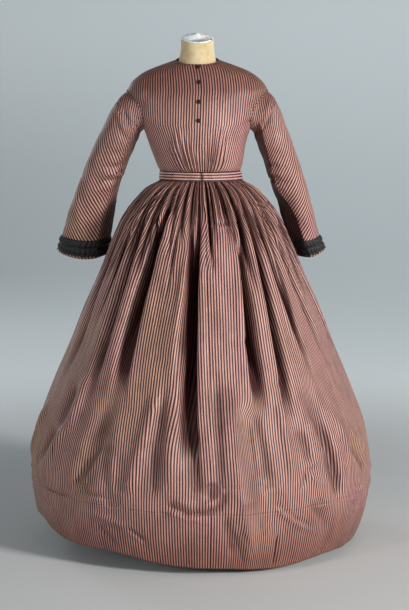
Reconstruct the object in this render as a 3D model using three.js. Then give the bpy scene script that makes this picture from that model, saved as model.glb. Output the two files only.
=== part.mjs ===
// A girl's striped silk day dress of about 1860, standing on a limbless dress form.
// Bodice of two gathered fronts and a back, two-piece sleeves with ruched ribbon at the wrist,
// a straight waistband hooked shut in front, and a floor-length skirt of six widths gathered
// into it. Millimetres, +Z up. The front faces -Y, and the origin is the middle of the
// stand's foot, on the floor. Angles run from the centre front towards +X, in degrees.
import * as THREE from "three";

// ---- Driving sizes
const CLOTH = 1.6; // silk with its cotton backing
const SEAM_GAP = 0.3; // between pieces that are sewn together
const EASE = 3; // between the cloth and the form
const WAIST_Z = 924; // lower edge of the waistband
const BAND_HEIGHT = 23;
const BAND_CLOTH = 2.4;
const HEM_Z = 8;
const FORM_FOOT_Z = 775;

const RAD = Math.PI / 180;
const SILK = { color: 0x9a6f6c, roughness: 0.5, metalness: 0 };
const RIBBON = { color: 0x0d0b0c, roughness: 0.6, metalness: 0 };
const CANVAS = { color: 0xcdb88c, roughness: 0.9, metalness: 0 };
const PLASTER = { color: 0xe6ebea, roughness: 0.6, metalness: 0 };
const IRON = { color: 0x1c1b1a, roughness: 0.5, metalness: 0.8 };
const VELVET = { color: 0x2a1418, roughness: 0.7, metalness: 0 };

// ---- Curves through short tables

// The value of one column where the key column has the value at: a smooth curve through the rows
// that never runs past them, because each slope is the harmonic mean of its two chords.
function valueAt(rows, key, column, at) {
  const up = rows[1][key] > rows[0][key] ? 1 : -1;
  const last = rows.length - 1;
  let k = 0;
  while (k < last - 1 && up * at > up * rows[k + 1][key]) k++;
  const chord = (i) =>
    (rows[i + 1][column] - rows[i][column]) / (rows[i + 1][key] - rows[i][key]);
  const slope = (i) => {
    if (i === 0) return chord(0);
    if (i === last) return chord(last - 1);
    const [a, b] = [chord(i - 1), chord(i)];
    return a * b > 0 ? (2 * a * b) / (a + b) : 0;
  };
  const width = rows[k + 1][key] - rows[k][key];
  const t = Math.min(Math.max((at - rows[k][key]) / width, 0), 1);
  const [t2, t3] = [t * t, t * t * t];
  return (
    (2 * t3 - 3 * t2 + 1) * rows[k][column] +
    (t3 - 2 * t2 + t) * width * slope(k) +
    (3 * t2 - 2 * t3) * rows[k + 1][column] +
    (t3 - t2) * width * slope(k + 1)
  );
}

// 0 below from, 1 above to, and a smooth step between them; from may be the larger.
function ramp(from, to, at) {
  const t = Math.min(Math.max((at - from) / (to - from), 0), 1);
  return t * t * (3 - 2 * t);
}

// ---- Walls of cloth

// The direction that faces out of a surface at (u, v), where surface(u, v) gives a point and u runs
// from the front towards +X as v goes up.
function outward(surface, u, v, du = 0.01, dv = 0.05) {
  const across = surface(u + du, v).sub(surface(u - du, v));
  const up = surface(u, v + dv).sub(surface(u, v - dv));
  return across.cross(up).normalize();
}

// A closed wall between two grids of points, outer[row][column] and inner[row][column].
// Rows run upwards and columns from the front towards +X. A ring joins its last column to its first.
function wallBetween(outer, inner, ring = false) {
  const rows = outer.length;
  const columns = outer[0].length;
  const position = [];
  for (const grid of [outer, inner])
    for (const row of grid) for (const p of row) position.push(p.x, p.y, p.z);
  const at = (side, r, c) => (side * rows + r) * columns + (c % columns);
  const index = [];
  const quad = (a, b, c, d) => index.push(a, b, c, a, c, d);
  const spans = ring ? columns : columns - 1;
  for (let c = 0; c < spans; c++) {
    for (let r = 0; r < rows - 1; r++) {
      quad(at(0, r, c), at(0, r, c + 1), at(0, r + 1, c + 1), at(0, r + 1, c));
      quad(at(1, r, c), at(1, r + 1, c), at(1, r + 1, c + 1), at(1, r, c + 1));
    }
    const top = rows - 1;
    quad(at(1, 0, c), at(1, 0, c + 1), at(0, 0, c + 1), at(0, 0, c));
    quad(at(0, top, c), at(0, top, c + 1), at(1, top, c + 1), at(1, top, c));
  }
  if (!ring)
    for (let r = 0; r < rows - 1; r++) {
      const end = columns - 1;
      quad(at(1, r, 0), at(0, r, 0), at(0, r + 1, 0), at(1, r + 1, 0));
      quad(at(0, r, end), at(1, r, end), at(1, r + 1, end), at(0, r + 1, end));
    }
  const geometry = new THREE.BufferGeometry();
  geometry.setAttribute("position", new THREE.Float32BufferAttribute(position, 3));
  geometry.setIndex(index);
  return geometry;
}

// A wall of one thickness: the outer grid is the surface at each (u, v), and the inner grid is the
// same points moved in along the surface's own normal.
function clothWall(surface, grid, thickness = CLOTH, ring = false) {
  const outer = grid.map((row) => row.map(([u, v]) => surface(u, v)));
  const inner = grid.map((row) =>
    row.map(([u, v]) =>
      surface(u, v).addScaledVector(outward(surface, u, v), -thickness),
    ),
  );
  return wallBetween(outer, inner, ring);
}

// A closed solid through rings of points, with flat ends.
function solidThrough(rings) {
  const columns = rings[0].length;
  const middle = (ring) =>
    ring.reduce((sum, p) => sum.add(p), new THREE.Vector3()).divideScalar(columns);
  const points = [...rings.flat(), middle(rings[0]), middle(rings.at(-1))];
  const at = (r, c) => r * columns + (c % columns);
  const [low, high] = [points.length - 2, points.length - 1];
  const index = [];
  for (let c = 0; c < columns; c++) {
    for (let r = 0; r < rings.length - 1; r++)
      index.push(at(r, c), at(r, c + 1), at(r + 1, c + 1), at(r, c), at(r + 1, c + 1), at(r + 1, c));
    index.push(low, at(0, c + 1), at(0, c));
    index.push(high, at(rings.length - 1, c), at(rings.length - 1, c + 1));
  }
  return new THREE.BufferGeometry().setFromPoints(points).setIndex(index);
}

// A point of an oval whose front and back halves have their own depths.
function oval(angle, z, { half, front, back, centre = 0 }) {
  const turn = angle * RAD;
  const depth = Math.cos(turn) > 0 ? front : back;
  return new THREE.Vector3(centre + half * Math.sin(turn), -depth * Math.cos(turn), z);
}

const part = new THREE.Group();

function addPiece(name, geometry, finish, parent = part) {
  const mesh = new THREE.Mesh(geometry, new THREE.MeshStandardMaterial(finish));
  mesh.name = name;
  parent.add(mesh);
  return mesh;
}

// ---- Bodice: level is the height at the centre front; each ring climbs by rise towards the back
const BODICE = [
  { level: 947, rise: 0, half: 101, front: 79, back: 76, centre: -2 },
  { level: 957, rise: 0, half: 106, front: 85, back: 78, centre: -3 },
  { level: 985, rise: 0, half: 114, front: 93, back: 81, centre: -6 },
  { level: 1015, rise: 0, half: 122, front: 98, back: 85, centre: -9 },
  { level: 1052, rise: 0, half: 134, front: 100, back: 90, centre: -10 },
  { level: 1099, rise: 0, half: 159, front: 94, back: 94, centre: -10 },
  { level: 1128, rise: 3, half: 170, front: 88, back: 92, centre: -10 },
  { level: 1146, rise: 6, half: 175, front: 81, back: 88, centre: -9 },
  { level: 1159, rise: 10, half: 168, front: 75, back: 83, centre: -9 },
  { level: 1172, rise: 14, half: 153, front: 70, back: 77, centre: -9 },
  { level: 1185, rise: 17, half: 131, front: 65, back: 71, centre: -9 },
  { level: 1199, rise: 20, half: 93, front: 58, back: 64, centre: -9 },
  { level: 1211, rise: 22, half: 53, front: 52, back: 58, centre: -9 },
];
const SIDE_ANGLE = 96; // side seam below the armhole, and shoulder seam above it
const OPENING_ANGLE = 4; // where the two fronts meet, at the chest
const OPENING_WAIST_ANGLE = 1.5;
const ARMHOLE = { level: 1099, halfLevel: 47, halfAngle: 34 };
const ARMHOLE_STEPS = 7; // spans from the underarm to the shoulder tip
const FAN = { waistAngle: 29, chestAngle: 43, gathers: 5, depth: 6, top: 1050 };

const bodiceColumn = (name, level) => valueAt(BODICE, "level", name, level);

// The plain bodice, before any gather.
function bodiceBase(angle, level) {
  const row = {
    half: bodiceColumn("half", level),
    front: bodiceColumn("front", level),
    back: bodiceColumn("back", level),
    centre: bodiceColumn("centre", level),
  };
  const climb = bodiceColumn("rise", level) * (1 - Math.cos(angle * RAD)) * 0.5;
  return oval(angle, level + climb, row);
}

// The outer edge of the fan of gathers that rises from the front of the waist.
function fanAngle(level) {
  const spread = ramp(BODICE[0].level, FAN.top, level);
  return FAN.waistAngle + (FAN.chestAngle - FAN.waistAngle) * spread;
}

// The bodice with its fan of gathers, which stand out from the base and fade up the chest.
function bodiceSurface(angle, level) {
  const signed = angle > 180 ? angle - 360 : angle;
  const place = Math.abs(signed) / fanAngle(level);
  const fade = ramp(FAN.top, BODICE[0].level + 12, level) * ramp(1.15, 0.8, place);
  const crest = 0.5 - 0.5 * Math.cos(place * FAN.gathers * 2 * Math.PI);
  const base = bodiceBase(angle, level);
  const away = new THREE.Vector3(Math.sin(angle * RAD), -Math.cos(angle * RAD), 0);
  return base.addScaledVector(away, FAN.depth * fade * crest);
}

// Half the armhole's angle at a level: an ellipse in angle and level.
function armholeHalfAngle(level) {
  const t = (level - ARMHOLE.level) / ARMHOLE.halfLevel;
  return Math.abs(t) >= 1 ? 0 : ARMHOLE.halfAngle * Math.sqrt(1 - t * t);
}

// The levels of the bodice's rows, which are closest round the ends of the armhole.
function bodiceLevels() {
  const below = [BODICE[0].level + SEAM_GAP, 957, 975, 1000, 1027];
  const armhole = Array.from({ length: ARMHOLE_STEPS + 1 }, (_, k) =>
    ARMHOLE.level - ARMHOLE.halfLevel * Math.cos((k * Math.PI) / ARMHOLE_STEPS),
  );
  return [...below, ...armhole, 1157, 1171, 1185, 1199, 1211];
}

// An angle that stops short of a seam by half its gap.
function besideSeam(angle, level, direction) {
  const radius = bodiceColumn("half", level);
  return angle + (direction * SEAM_GAP) / 2 / radius / RAD;
}

function openingAngle(level) {
  const up = ramp(BODICE[0].level, 1060, level);
  return OPENING_WAIST_ANGLE + (OPENING_ANGLE - OPENING_WAIST_ANGLE) * up;
}

const FAN_COLUMNS = 2 * FAN.gathers;
const SIDE_COLUMNS = 5;

// One front, from the opening to the side seam; side is 1 towards +X and -1 towards -X.
function bodiceFront(side) {
  const grid = bodiceLevels().map((level) => {
    const edge = side * besideSeam(SIDE_ANGLE - armholeHalfAngle(level), level, -1);
    const opening = besideSeam(openingAngle(level), level, side);
    const fan = side * fanAngle(level);
    const row = [opening];
    for (let k = 1; k <= FAN_COLUMNS; k++) row.push((fan * k) / FAN_COLUMNS);
    for (let k = 1; k <= SIDE_COLUMNS; k++)
      row.push(fan + ((edge - fan) * k) / SIDE_COLUMNS);
    // The first column of the fan would cross the opening where that lies to one side.
    if (side * opening > side * row[1]) row[1] = (opening + row[2]) / 2;
    return (side > 0 ? row : row.reverse()).map((angle) => [angle, level]);
  });
  return clothWall(bodiceSurface, grid);
}

const BACK_COLUMNS = 14;

function bodiceBack() {
  const grid = bodiceLevels().map((level) => {
    const from = besideSeam(SIDE_ANGLE + armholeHalfAngle(level), level, 1);
    return Array.from({ length: BACK_COLUMNS + 1 }, (_, k) => [
      from + ((360 - 2 * from) * k) / BACK_COLUMNS,
      level,
    ]);
  });
  return clothWall(bodiceBase, grid);
}

addPiece("bodice_front_left", bodiceFront(-1), SILK);
addPiece("bodice_front_right", bodiceFront(1), SILK);
addPiece("bodice_back", bodiceBack(), SILK);

// ---- Buttons: low domes down the left front's edge
const BUTTON = { radius: 5.5, height: 4.5, angle: 1.6, sides: 10, standOff: 0.45 };
const BUTTON_LEVELS = [1206, 1169, 1121, 1075];

function buttonDome() {
  const profile = [new THREE.Vector2(0, 0), new THREE.Vector2(BUTTON.radius * 0.85, 0)];
  for (const turn of [0.12, 0.5, 0.8])
    profile.push(
      new THREE.Vector2(
        BUTTON.radius * Math.cos((turn * Math.PI) / 2),
        BUTTON.height * (0.3 + 0.7 * Math.sin((turn * Math.PI) / 2)),
      ),
    );
  profile.push(new THREE.Vector2(0, BUTTON.height));
  return new THREE.LatheGeometry(profile, BUTTON.sides);
}

BUTTON_LEVELS.forEach((level, k) => {
  const button = addPiece(`button_${k + 1}`, buttonDome(), VELVET);
  const normal = outward(bodiceSurface, BUTTON.angle, level);
  button.position
    .copy(bodiceSurface(BUTTON.angle, level))
    .addScaledVector(normal, BUTTON.standOff);
  button.quaternion.setFromUnitVectors(new THREE.Vector3(0, 1, 0), normal);
});

// ---- Waistband: one strip from the front opening round the back
const BAND = [
  { z: WAIST_Z, half: 106, front: 83, back: 80, centre: 0 },
  { z: WAIST_Z + BAND_HEIGHT, half: 103, front: 80, back: 78, centre: -2 },
];
const BAND_OPENING = { angle: 2, gap: 0.5 };
const BAND_COLUMNS = 44;

function bandSurface(angle, z) {
  const row = {};
  for (const name of ["half", "front", "back", "centre"])
    row[name] = valueAt(BAND, "z", name, z);
  return oval(angle, z, row);
}

function waistband() {
  const from = BAND_OPENING.angle + BAND_OPENING.gap / 2;
  const grid = BAND.map(({ z }) =>
    Array.from({ length: BAND_COLUMNS + 1 }, (_, k) => [
      from + ((360 - BAND_OPENING.gap) * k) / BAND_COLUMNS,
      z,
    ]),
  );
  return clothWall(bandSurface, grid, BAND_CLOTH);
}

addPiece("waistband", waistband(), SILK);

// ---- Sleeves: each row gives the outer and the inner edge of a ring, as seen from the front
const LEFT_SLEEVE = [
  { ring: 1, outX: 207, outZ: 1126, inX: 151, inZ: 1043, y: 2, deep: 47 },
  { ring: 2, outX: 228, outZ: 1096, inX: 157, inZ: 1027, y: 3, deep: 50 },
  { ring: 3, outX: 252, outZ: 1047, inX: 167, inZ: 1003, y: 6, deep: 51 },
  { ring: 4, outX: 276, outZ: 999, inX: 181, inZ: 972, y: 12, deep: 50 },
  { ring: 5, outX: 296, outZ: 951, inX: 197, inZ: 932, y: 22, deep: 49 },
  { ring: 6, outX: 314, outZ: 905, inX: 210, inZ: 895, y: 36, deep: 48 },
  { ring: 7, outX: 332, outZ: 861, inX: 217, inZ: 857, y: 52, deep: 48 },
  { ring: 8, outX: 348, outZ: 815, inX: 224, inZ: 810, y: 68, deep: 49 },
  { ring: 9, outX: 360, outZ: 772, inX: 233, inZ: 768, y: 82, deep: 50 },
  { ring: 10, outX: 370, outZ: 733, inX: 244, inZ: 724, y: 95, deep: 51 },
];
const RIGHT_SLEEVE = [
  { ring: 1, outX: 186, outZ: 1126, inX: 131, inZ: 1043, y: 2, deep: 47 },
  { ring: 2, outX: 201, outZ: 1096, inX: 136, inZ: 1026, y: 3, deep: 50 },
  { ring: 3, outX: 220, outZ: 1046, inX: 145, inZ: 1000, y: 7, deep: 51 },
  { ring: 4, outX: 238, outZ: 999, inX: 157, inZ: 970, y: 16, deep: 50 },
  { ring: 5, outX: 255, outZ: 950, inX: 171, inZ: 929, y: 30, deep: 49 },
  { ring: 6, outX: 270, outZ: 905, inX: 185, inZ: 889, y: 46, deep: 48 },
  { ring: 7, outX: 284, outZ: 858, inX: 199, inZ: 851, y: 66, deep: 48 },
  { ring: 8, outX: 297, outZ: 812, inX: 211, inZ: 806, y: 86, deep: 49 },
  { ring: 9, outX: 308, outZ: 770, inX: 221, inZ: 765, y: 104, deep: 50 },
  { ring: 10, outX: 322, outZ: 735, inX: 231, inZ: 723, y: 120, deep: 50 },
];
const SLEEVE_END = 10;
const WRIST_DIP = 12; // how far the front of the wrist hangs below its sides
const SLEEVE_STEPS = 2 * ARMHOLE_STEPS; // columns of a whole ring
const UNDER_STEPS = 4; // those of the under-sleeve, in the middle of the inside of the arm

// The armhole's edge, where the sleeve starts: 0 at the shoulder tip, 90 at the front.
function armholeEdge(side, around) {
  const level = ARMHOLE.level + ARMHOLE.halfLevel * Math.cos(around * RAD);
  const angle = SIDE_ANGLE - ARMHOLE.halfAngle * Math.sin(around * RAD);
  return bodiceBase(side > 0 ? angle : 360 - angle, level);
}

// A sleeve's surface: around is 0 on the outside of the arm and 90 at its front, and ring counts
// down the table, from the armhole at 0.
function sleeveSurface(side, table) {
  const tableRing = (around, ring) => {
    const value = (name) => valueAt(table, "ring", name, ring);
    const [c, s] = [Math.cos(around * RAD), Math.sin(around * RAD)];
    const [outX, inX, outZ, inZ] = ["outX", "inX", "outZ", "inZ"].map(value);
    const dip = WRIST_DIP * ramp(7, SLEEVE_END, ring) * Math.max(s, 0) * s;
    return new THREE.Vector3(
      side * ((outX + inX) / 2 + ((outX - inX) / 2) * c),
      value("y") - value("deep") * s,
      (outZ + inZ) / 2 + ((outZ - inZ) / 2) * c - dip,
    );
  };
  return (around, ring) => {
    if (ring >= 1) return tableRing(around, ring);
    const start = armholeEdge(side, around);
    const next = tableRing(around, 1);
    const reach = next.clone().sub(start);
    return start.addScaledVector(reach, Math.max(ring, SEAM_GAP / reach.length()));
  };
}

// One of a sleeve's two pieces, from one angle round to another.
function sleevePiece(side, table, from, to) {
  const surface = sleeveSurface(side, table);
  const step = 360 / SLEEVE_STEPS;
  const count = Math.round((to - from) / step);
  const rings = [0, 1, 2, 3, 4, 5, 6, 7, 8, 9, SLEEVE_END];
  const grid = rings.map((ring) =>
    Array.from({ length: count + 1 }, (_, k) => {
      const reach = Math.max(valueAt(table, "ring", "deep", Math.max(ring, 1)), 1);
      const trim = SEAM_GAP / 2 / reach / RAD;
      const around = from + k * step + (k === 0 ? trim : 0) - (k === count ? trim : 0);
      return [around, ring];
    }),
  );
  return sleeveWall(surface, grid, side);
}

// A wall on a sleeve's surface. The rings run down the arm, so the order that keeps the faces
// outwards depends on the side.
function sleeveWall(surface, grid, side, thickness = CLOTH, ring = false) {
  const outer = grid.map((row) => row.map(([u, v]) => surface(u, v)));
  const inner = grid.map((row) =>
    row.map(([u, v]) => {
      const safe = Math.max(v, 0.12); // the normal at the armhole is the sleeve's own
      const normal = outward(surface, u, safe, 0.5, 0.05).multiplyScalar(side);
      return surface(u, v).addScaledVector(normal, -thickness);
    }),
  );
  if (side > 0) return wallBetween(outer, inner, ring);
  return wallBetween([...outer].reverse(), [...inner].reverse(), ring);
}

for (const [name, side, table] of [
  ["left", -1, LEFT_SLEEVE],
  ["right", 1, RIGHT_SLEEVE],
]) {
  const under = (180 * UNDER_STEPS) / SLEEVE_STEPS;
  const [front, back] = [180 - under, 180 + under];
  addPiece(`sleeve_${name}_upper`, sleevePiece(side, table, back - 360, front), SILK);
  addPiece(`sleeve_${name}_under`, sleevePiece(side, table, front, back), SILK);
}

// ---- Wrist trim: a ruched ribbon round each sleeve, a little above its edge
const TRIM = { ruffles: 16, wave: 3.5, bulge: 2.5, standOff: 0.5 };
const TRIM_ROWS = [
  { ring: 8.9, puff: 0, wave: 0.15 },
  { ring: 9.35, puff: 1, wave: 0.7 },
  { ring: 9.82, puff: 0.6, wave: 1 },
];

function wristTrim(side, table) {
  const sleeve = sleeveSurface(side, table);
  const columns = 4 * TRIM.ruffles;
  const surface = (around, ring) => {
    const puff = valueAt(TRIM_ROWS, "ring", "puff", ring);
    const wave = valueAt(TRIM_ROWS, "ring", "wave", ring);
    const ripple = 0.5 - 0.5 * Math.cos(around * RAD * TRIM.ruffles);
    const out = TRIM.standOff + CLOTH + TRIM.bulge * puff + TRIM.wave * wave * ripple;
    const normal = outward(sleeve, around, ring, 0.5, 0.05).multiplyScalar(side);
    return sleeve(around, ring).addScaledVector(normal, out);
  };
  const grid = TRIM_ROWS.map(({ ring }) =>
    Array.from({ length: columns }, (_, k) => [(360 * k) / columns, ring]),
  );
  return sleeveWall(surface, grid, side, CLOTH, true);
}

addPiece("wrist_trim_left", wristTrim(-1, LEFT_SLEEVE), RIBBON);
addPiece("wrist_trim_right", wristTrim(1, RIGHT_SLEEVE), RIBBON);

// ---- Skirt: the crests of its gathers and folds follow this outline
const SKIRT = [
  { z: 924, half: 104, front: 81, back: 79 },
  { z: 915, half: 122, front: 98, back: 98 },
  { z: 905, half: 140, front: 115, back: 120 },
  { z: 893, half: 154, front: 131, back: 140 },
  { z: 875, half: 171, front: 150, back: 163 },
  { z: 832, half: 202, front: 184, back: 203 },
  { z: 771, half: 229, front: 215, back: 238 },
  { z: 709, half: 253, front: 241, back: 266 },
  { z: 617, half: 292, front: 279, back: 306 },
  { z: 534, half: 326, front: 311, back: 341 },
  { z: 410, half: 379, front: 358, back: 393 },
  { z: 284, half: 424, front: 398, back: 437 },
  { z: 200, half: 437, front: 408, back: 449 },
  { z: 115, half: 429, front: 400, back: 442 },
  { z: 60, half: 416, front: 390, back: 431 },
  { z: 8, half: 396, front: 375, back: 415 },
];
const SKIRT_GATHERS = 42;
const GATHERS = [
  { z: 924, deep: 6 },
  { z: 912, deep: 12 },
  { z: 890, deep: 16 },
  { z: 850, deep: 15 },
  { z: 790, deep: 9 },
  { z: 720, deep: 4 },
  { z: 640, deep: 1 },
  { z: 560, deep: 0 },
];
// Stretches between two deep folds where the gathers run out early and the cloth hangs smooth.
const PANELS = [
  { middle: -17, half: 9, top: 885 },
  { middle: 13, half: 10, top: 820 },
  { middle: -55, half: 9, top: 800 },
  { middle: 79, half: 10, top: 810 },
  { middle: -98, half: 10, top: 800 },
  { middle: 130, half: 9, top: 830 },
  { middle: 180, half: 10, top: 840 },
  { middle: 233, half: 9, top: 810 },
];
// A fold is a valley: the heights between which it runs, the angle of its bed at its head, halfway
// down and at its foot, how far its two sides reach in degrees, its depth, and how far its bed
// leans sideways under the ridge next to it.
const FOLDS = [
  { head: 890, foot: 400, angle: [-24, -33, -31], left: 5.8, right: 4.6, deep: 42, lean: 3 },
  { head: 815, foot: 460, angle: [-5.5, -8.5, -10], left: 2.2, right: 2.0, deep: 13, lean: 0 },
  { head: 800, foot: 230, angle: [-0.5, -3.4, -2.5], left: 4.6, right: 3.4, deep: 40, lean: 2 },
  { head: 790, foot: 380, angle: [26, 24.4, 19], left: 3.8, right: 3.8, deep: 30, lean: 0 },
  { head: 895, foot: 320, angle: [35.5, 37, 35], left: 3.4, right: 3.6, deep: 24, lean: -2 },
  { head: 870, foot: 400, angle: [50, 51.5, 51], left: 3.6, right: 4.0, deep: 24, lean: 0 },
  { head: 870, foot: 450, angle: [70, 73, 71], left: 3.8, right: 3.8, deep: 20, lean: 0 },
  { head: 860, foot: 380, angle: [-43, -47, -46], left: 3.8, right: 3.4, deep: 24, lean: 2 },
  { head: 870, foot: 420, angle: [-69, -70, -67], left: 4.0, right: 3.6, deep: 22, lean: 2 },
  { head: 480, foot: 130, angle: [-13, -15, -18], left: 4.2, right: 4.2, deep: 14, lean: 0 },
  { head: 460, foot: 120, angle: [-34, -38, -43], left: 5.0, right: 6.0, deep: 18, lean: 0 },
  { head: 430, foot: 90, angle: [13, 15, 17], left: 4.0, right: 4.6, deep: 12, lean: 0 },
  { head: 470, foot: 130, angle: [44, 46, 50], left: 5.0, right: 5.0, deep: 15, lean: 0 },
  { head: 860, foot: 330, angle: [92, 94, 93], left: 4.8, right: 4.6, deep: 22, lean: 0 },
  { head: 890, foot: 300, angle: [109, 112, 111], left: 4.6, right: 4.4, deep: 26, lean: 0 },
  { head: 870, foot: 360, angle: [142, 144, 145], left: 4.8, right: 4.4, deep: 26, lean: 0 },
  { head: 890, foot: 260, angle: [161, 162, 160], left: 5.0, right: 4.8, deep: 32, lean: 0 },
  { head: 890, foot: 290, angle: [199, 200, 201], left: 4.8, right: 5.0, deep: 32, lean: 0 },
  { head: 860, foot: 380, angle: [216, 218, 217], left: 4.0, right: 4.2, deep: 28, lean: -2 },
  { head: 880, foot: 300, angle: [254, 255, 256], left: 4.2, right: 4.4, deep: 34, lean: -2 },
  { head: 430, foot: 110, angle: [132, 131, 130], left: 5.0, right: 5.0, deep: 15, lean: 0 },
  { head: 450, foot: 120, angle: [175, 174, 172], left: 5.0, right: 5.0, deep: 14, lean: 0 },
  { head: 440, foot: 120, angle: [231, 232, 234], left: 5.0, right: 5.0, deep: 15, lean: 0 },
];
// Slow sways that make the gathers uneven: how many round the skirt, how far, and where they start.
const SWAYS = [
  { count: 5, angle: 1.2, start: 60 },
  { count: 9, angle: 0.8, start: 10 },
  { count: 13, angle: 0.4, start: 200 },
];
const HEM_WAVE = { count: 9, rise: 3 };

// How far down a fold a height is, from 0 at its head to 1 at its foot.
const alongFold = (fold, z) =>
  Math.min(Math.max((fold.head - z) / (fold.head - fold.foot), 0), 1);

// The angle of a fold's bed at a height: the parabola through its three angles.
function foldAngle(fold, z) {
  const t = alongFold(fold, z);
  const [head, middle, foot] = fold.angle;
  return head * (1 - t) * (1 - 2 * t) + middle * 4 * t * (1 - t) + foot * t * (2 * t - 1);
}

// How deep in a fold a point lies, from 0 to 1. The fold is widest and deepest halfway down, and
// its cross-section is a bell with sides of unequal reach.
function foldDepth(fold, angle, z) {
  const t = alongFold(fold, z);
  const away = ((angle - foldAngle(fold, z) + 540) % 360) - 180;
  const open = 0.7 + 0.3 * ramp(0, 0.4, t) * ramp(1.15, 0.55, t);
  const reach = (away < 0 ? fold.left : fold.right) * open;
  return ramp(0, 0.3, t) * ramp(1, 0.7, t) * Math.exp(-1.2 * (away / reach) ** 2);
}

// How deep the gathers are, which is little on the smooth panels.
function gatherDepth(column, angle, z) {
  const uneven = 0.75 + 0.25 * Math.sin((column * 8 + 30) * RAD);
  let smooth = 0;
  for (const { middle, half, top } of PANELS) {
    const away = Math.abs(((angle - middle + 540) % 360) - 180);
    smooth += ramp(half + 2, half - 3, away) * ramp(top + 15, top - 45, z);
  }
  return valueAt(GATHERS, "z", "deep", z) * uneven * (1 - 0.9 * Math.min(smooth, 1));
}

// The skirt's surface. The column of cloth is given by its angle in the even skirt, before the
// sways, folds and gathers move it.
function skirtSurface(column, z) {
  const value = (name) => valueAt(SKIRT, "z", name, z);
  let angle = column;
  for (const { count, angle: sway, start } of SWAYS)
    angle += sway * Math.sin((column * count + start) * RAD);

  const crest = 0.5 - 0.5 * Math.cos(column * SKIRT_GATHERS * RAD);
  let inwards = gatherDepth(column, angle, z) * crest;
  let sideways = 0;
  for (const fold of FOLDS) {
    const depth = foldDepth(fold, angle, z);
    inwards += fold.deep * depth;
    sideways += fold.lean * depth;
  }
  const lift = HEM_WAVE.rise * (0.5 + 0.5 * Math.sin(column * HEM_WAVE.count * RAD));
  const point = oval(angle, z + lift * ramp(120, HEM_Z, z), {
    half: value("half"),
    front: value("front"),
    back: value("back"),
  });
  const turn = angle * RAD;
  point.x += -Math.sin(turn) * inwards + Math.cos(turn) * sideways;
  point.y += Math.cos(turn) * inwards + Math.sin(turn) * sideways;
  return point;
}

const SKIRT_LEVELS = [
  HEM_Z, 65, 140, 235, 355, 490, 630, 745, 826, 878, 907, WAIST_Z - SEAM_GAP,
];
// The six widths, named by where they hang as seen from the front, and where each starts.
const SKIRT_WIDTHS = [
  ["skirt_right_front", 2],
  ["skirt_right_side", 62],
  ["skirt_right_back", 122],
  ["skirt_left_back", 182],
  ["skirt_left_side", 242],
  ["skirt_left_front", 302],
];
const WIDTH_ANGLE = 360 / SKIRT_WIDTHS.length;
const WIDTH_COLUMNS = (4 * SKIRT_GATHERS) / SKIRT_WIDTHS.length;

function skirtWidth(from) {
  const grid = SKIRT_LEVELS.map((z) => {
    const trim = SEAM_GAP / 2 / valueAt(SKIRT, "z", "front", z) / RAD;
    return Array.from({ length: WIDTH_COLUMNS + 1 }, (_, k) => {
      const column = from + (WIDTH_ANGLE * k) / WIDTH_COLUMNS;
      const short = k === 0 ? trim : k === WIDTH_COLUMNS ? -trim : 0;
      return [column + short, z];
    });
  });
  return clothWall(skirtSurface, grid);
}

for (const [name, from] of SKIRT_WIDTHS) addPiece(name, skirtWidth(from), SILK);

// ---- Dress form: the bodice's own figure, taken in, with hips below and a cut neck above
const FORM_COLUMNS = 24;
const HIPS = [
  { z: FORM_FOOT_Z, half: 108, front: 84, back: 92, centre: 0 },
  { z: 800, half: 119, front: 92, back: 102, centre: 0 },
  { z: 850, half: 117, front: 88, back: 100, centre: 0 },
  { z: 890, half: 103, front: 78, back: 82, centre: 0 },
  { z: 923, half: 92, front: 68, back: 67, centre: 0 },
  { z: 937, half: 93, front: 70, back: 68, centre: -1 },
];
const NECK = [
  { level: 1209, rise: 22, half: 48, front: 48, back: 52 },
  { level: 1222, rise: 22, half: 44.5, front: 46, back: 47 },
  { level: 1240, rise: 22, half: 41.5, front: 43, back: 42 },
  { level: 1258, rise: 22, half: 41, front: 43, back: 40 },
  { level: 1264, rise: 23, half: 40, front: 42, back: 39 },
];
const NECK_CENTRE = -9;
const NECK_CAP_HEIGHT = 4;

function formRing(make) {
  return Array.from({ length: FORM_COLUMNS }, (_, k) => make((360 * k) / FORM_COLUMNS));
}

function neckRing({ level, rise, ...size }, lift = 0) {
  return formRing((angle) => {
    const climb = rise * (1 - Math.cos(angle * RAD)) * 0.5;
    return oval(angle, level + climb + lift, { ...size, centre: NECK_CENTRE });
  });
}

function dressForm() {
  const hips = HIPS.map((row) => formRing((angle) => oval(angle, row.z, row)));
  const levels = [957, 985, 1020, 1052, 1078, 1099, 1128, 1146, 1158, 1172, 1185, 1203];
  const trunk = levels.map((level) =>
    formRing((angle) =>
      bodiceBase(angle, level).addScaledVector(
        outward(bodiceBase, angle, level),
        -(CLOTH + EASE),
      ),
    ),
  );
  return solidThrough([...hips, ...trunk, ...NECK.map((row) => neckRing(row))]);
}

function neckCap() {
  const rim = NECK.at(-1);
  const ring = (inset, lift) =>
    neckRing(
      { ...rim, half: rim.half - inset, front: rim.front - inset, back: rim.back - inset },
      lift,
    );
  return solidThrough([ring(1, SEAM_GAP), ring(1, 0.6 * NECK_CAP_HEIGHT), ring(5, NECK_CAP_HEIGHT)]);
}

addPiece("form_body", dressForm(), CANVAS);
addPiece("form_neck_cap", neckCap(), PLASTER);

// ---- Stand: a pole under the form, on a round foot
const POLE_RADIUS = 14;
const FOOT = { radius: 150, edge: 10, hubRadius: 26, hubTop: 34, sides: 32 };

const pole = addPiece(
  "stand_pole",
  new THREE.CylinderGeometry(
    POLE_RADIUS,
    POLE_RADIUS,
    FORM_FOOT_Z - FOOT.hubTop - 2 * SEAM_GAP,
    16,
  ),
  IRON,
);
pole.rotation.x = Math.PI / 2;
pole.position.z = (FORM_FOOT_Z + FOOT.hubTop) / 2;

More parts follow.
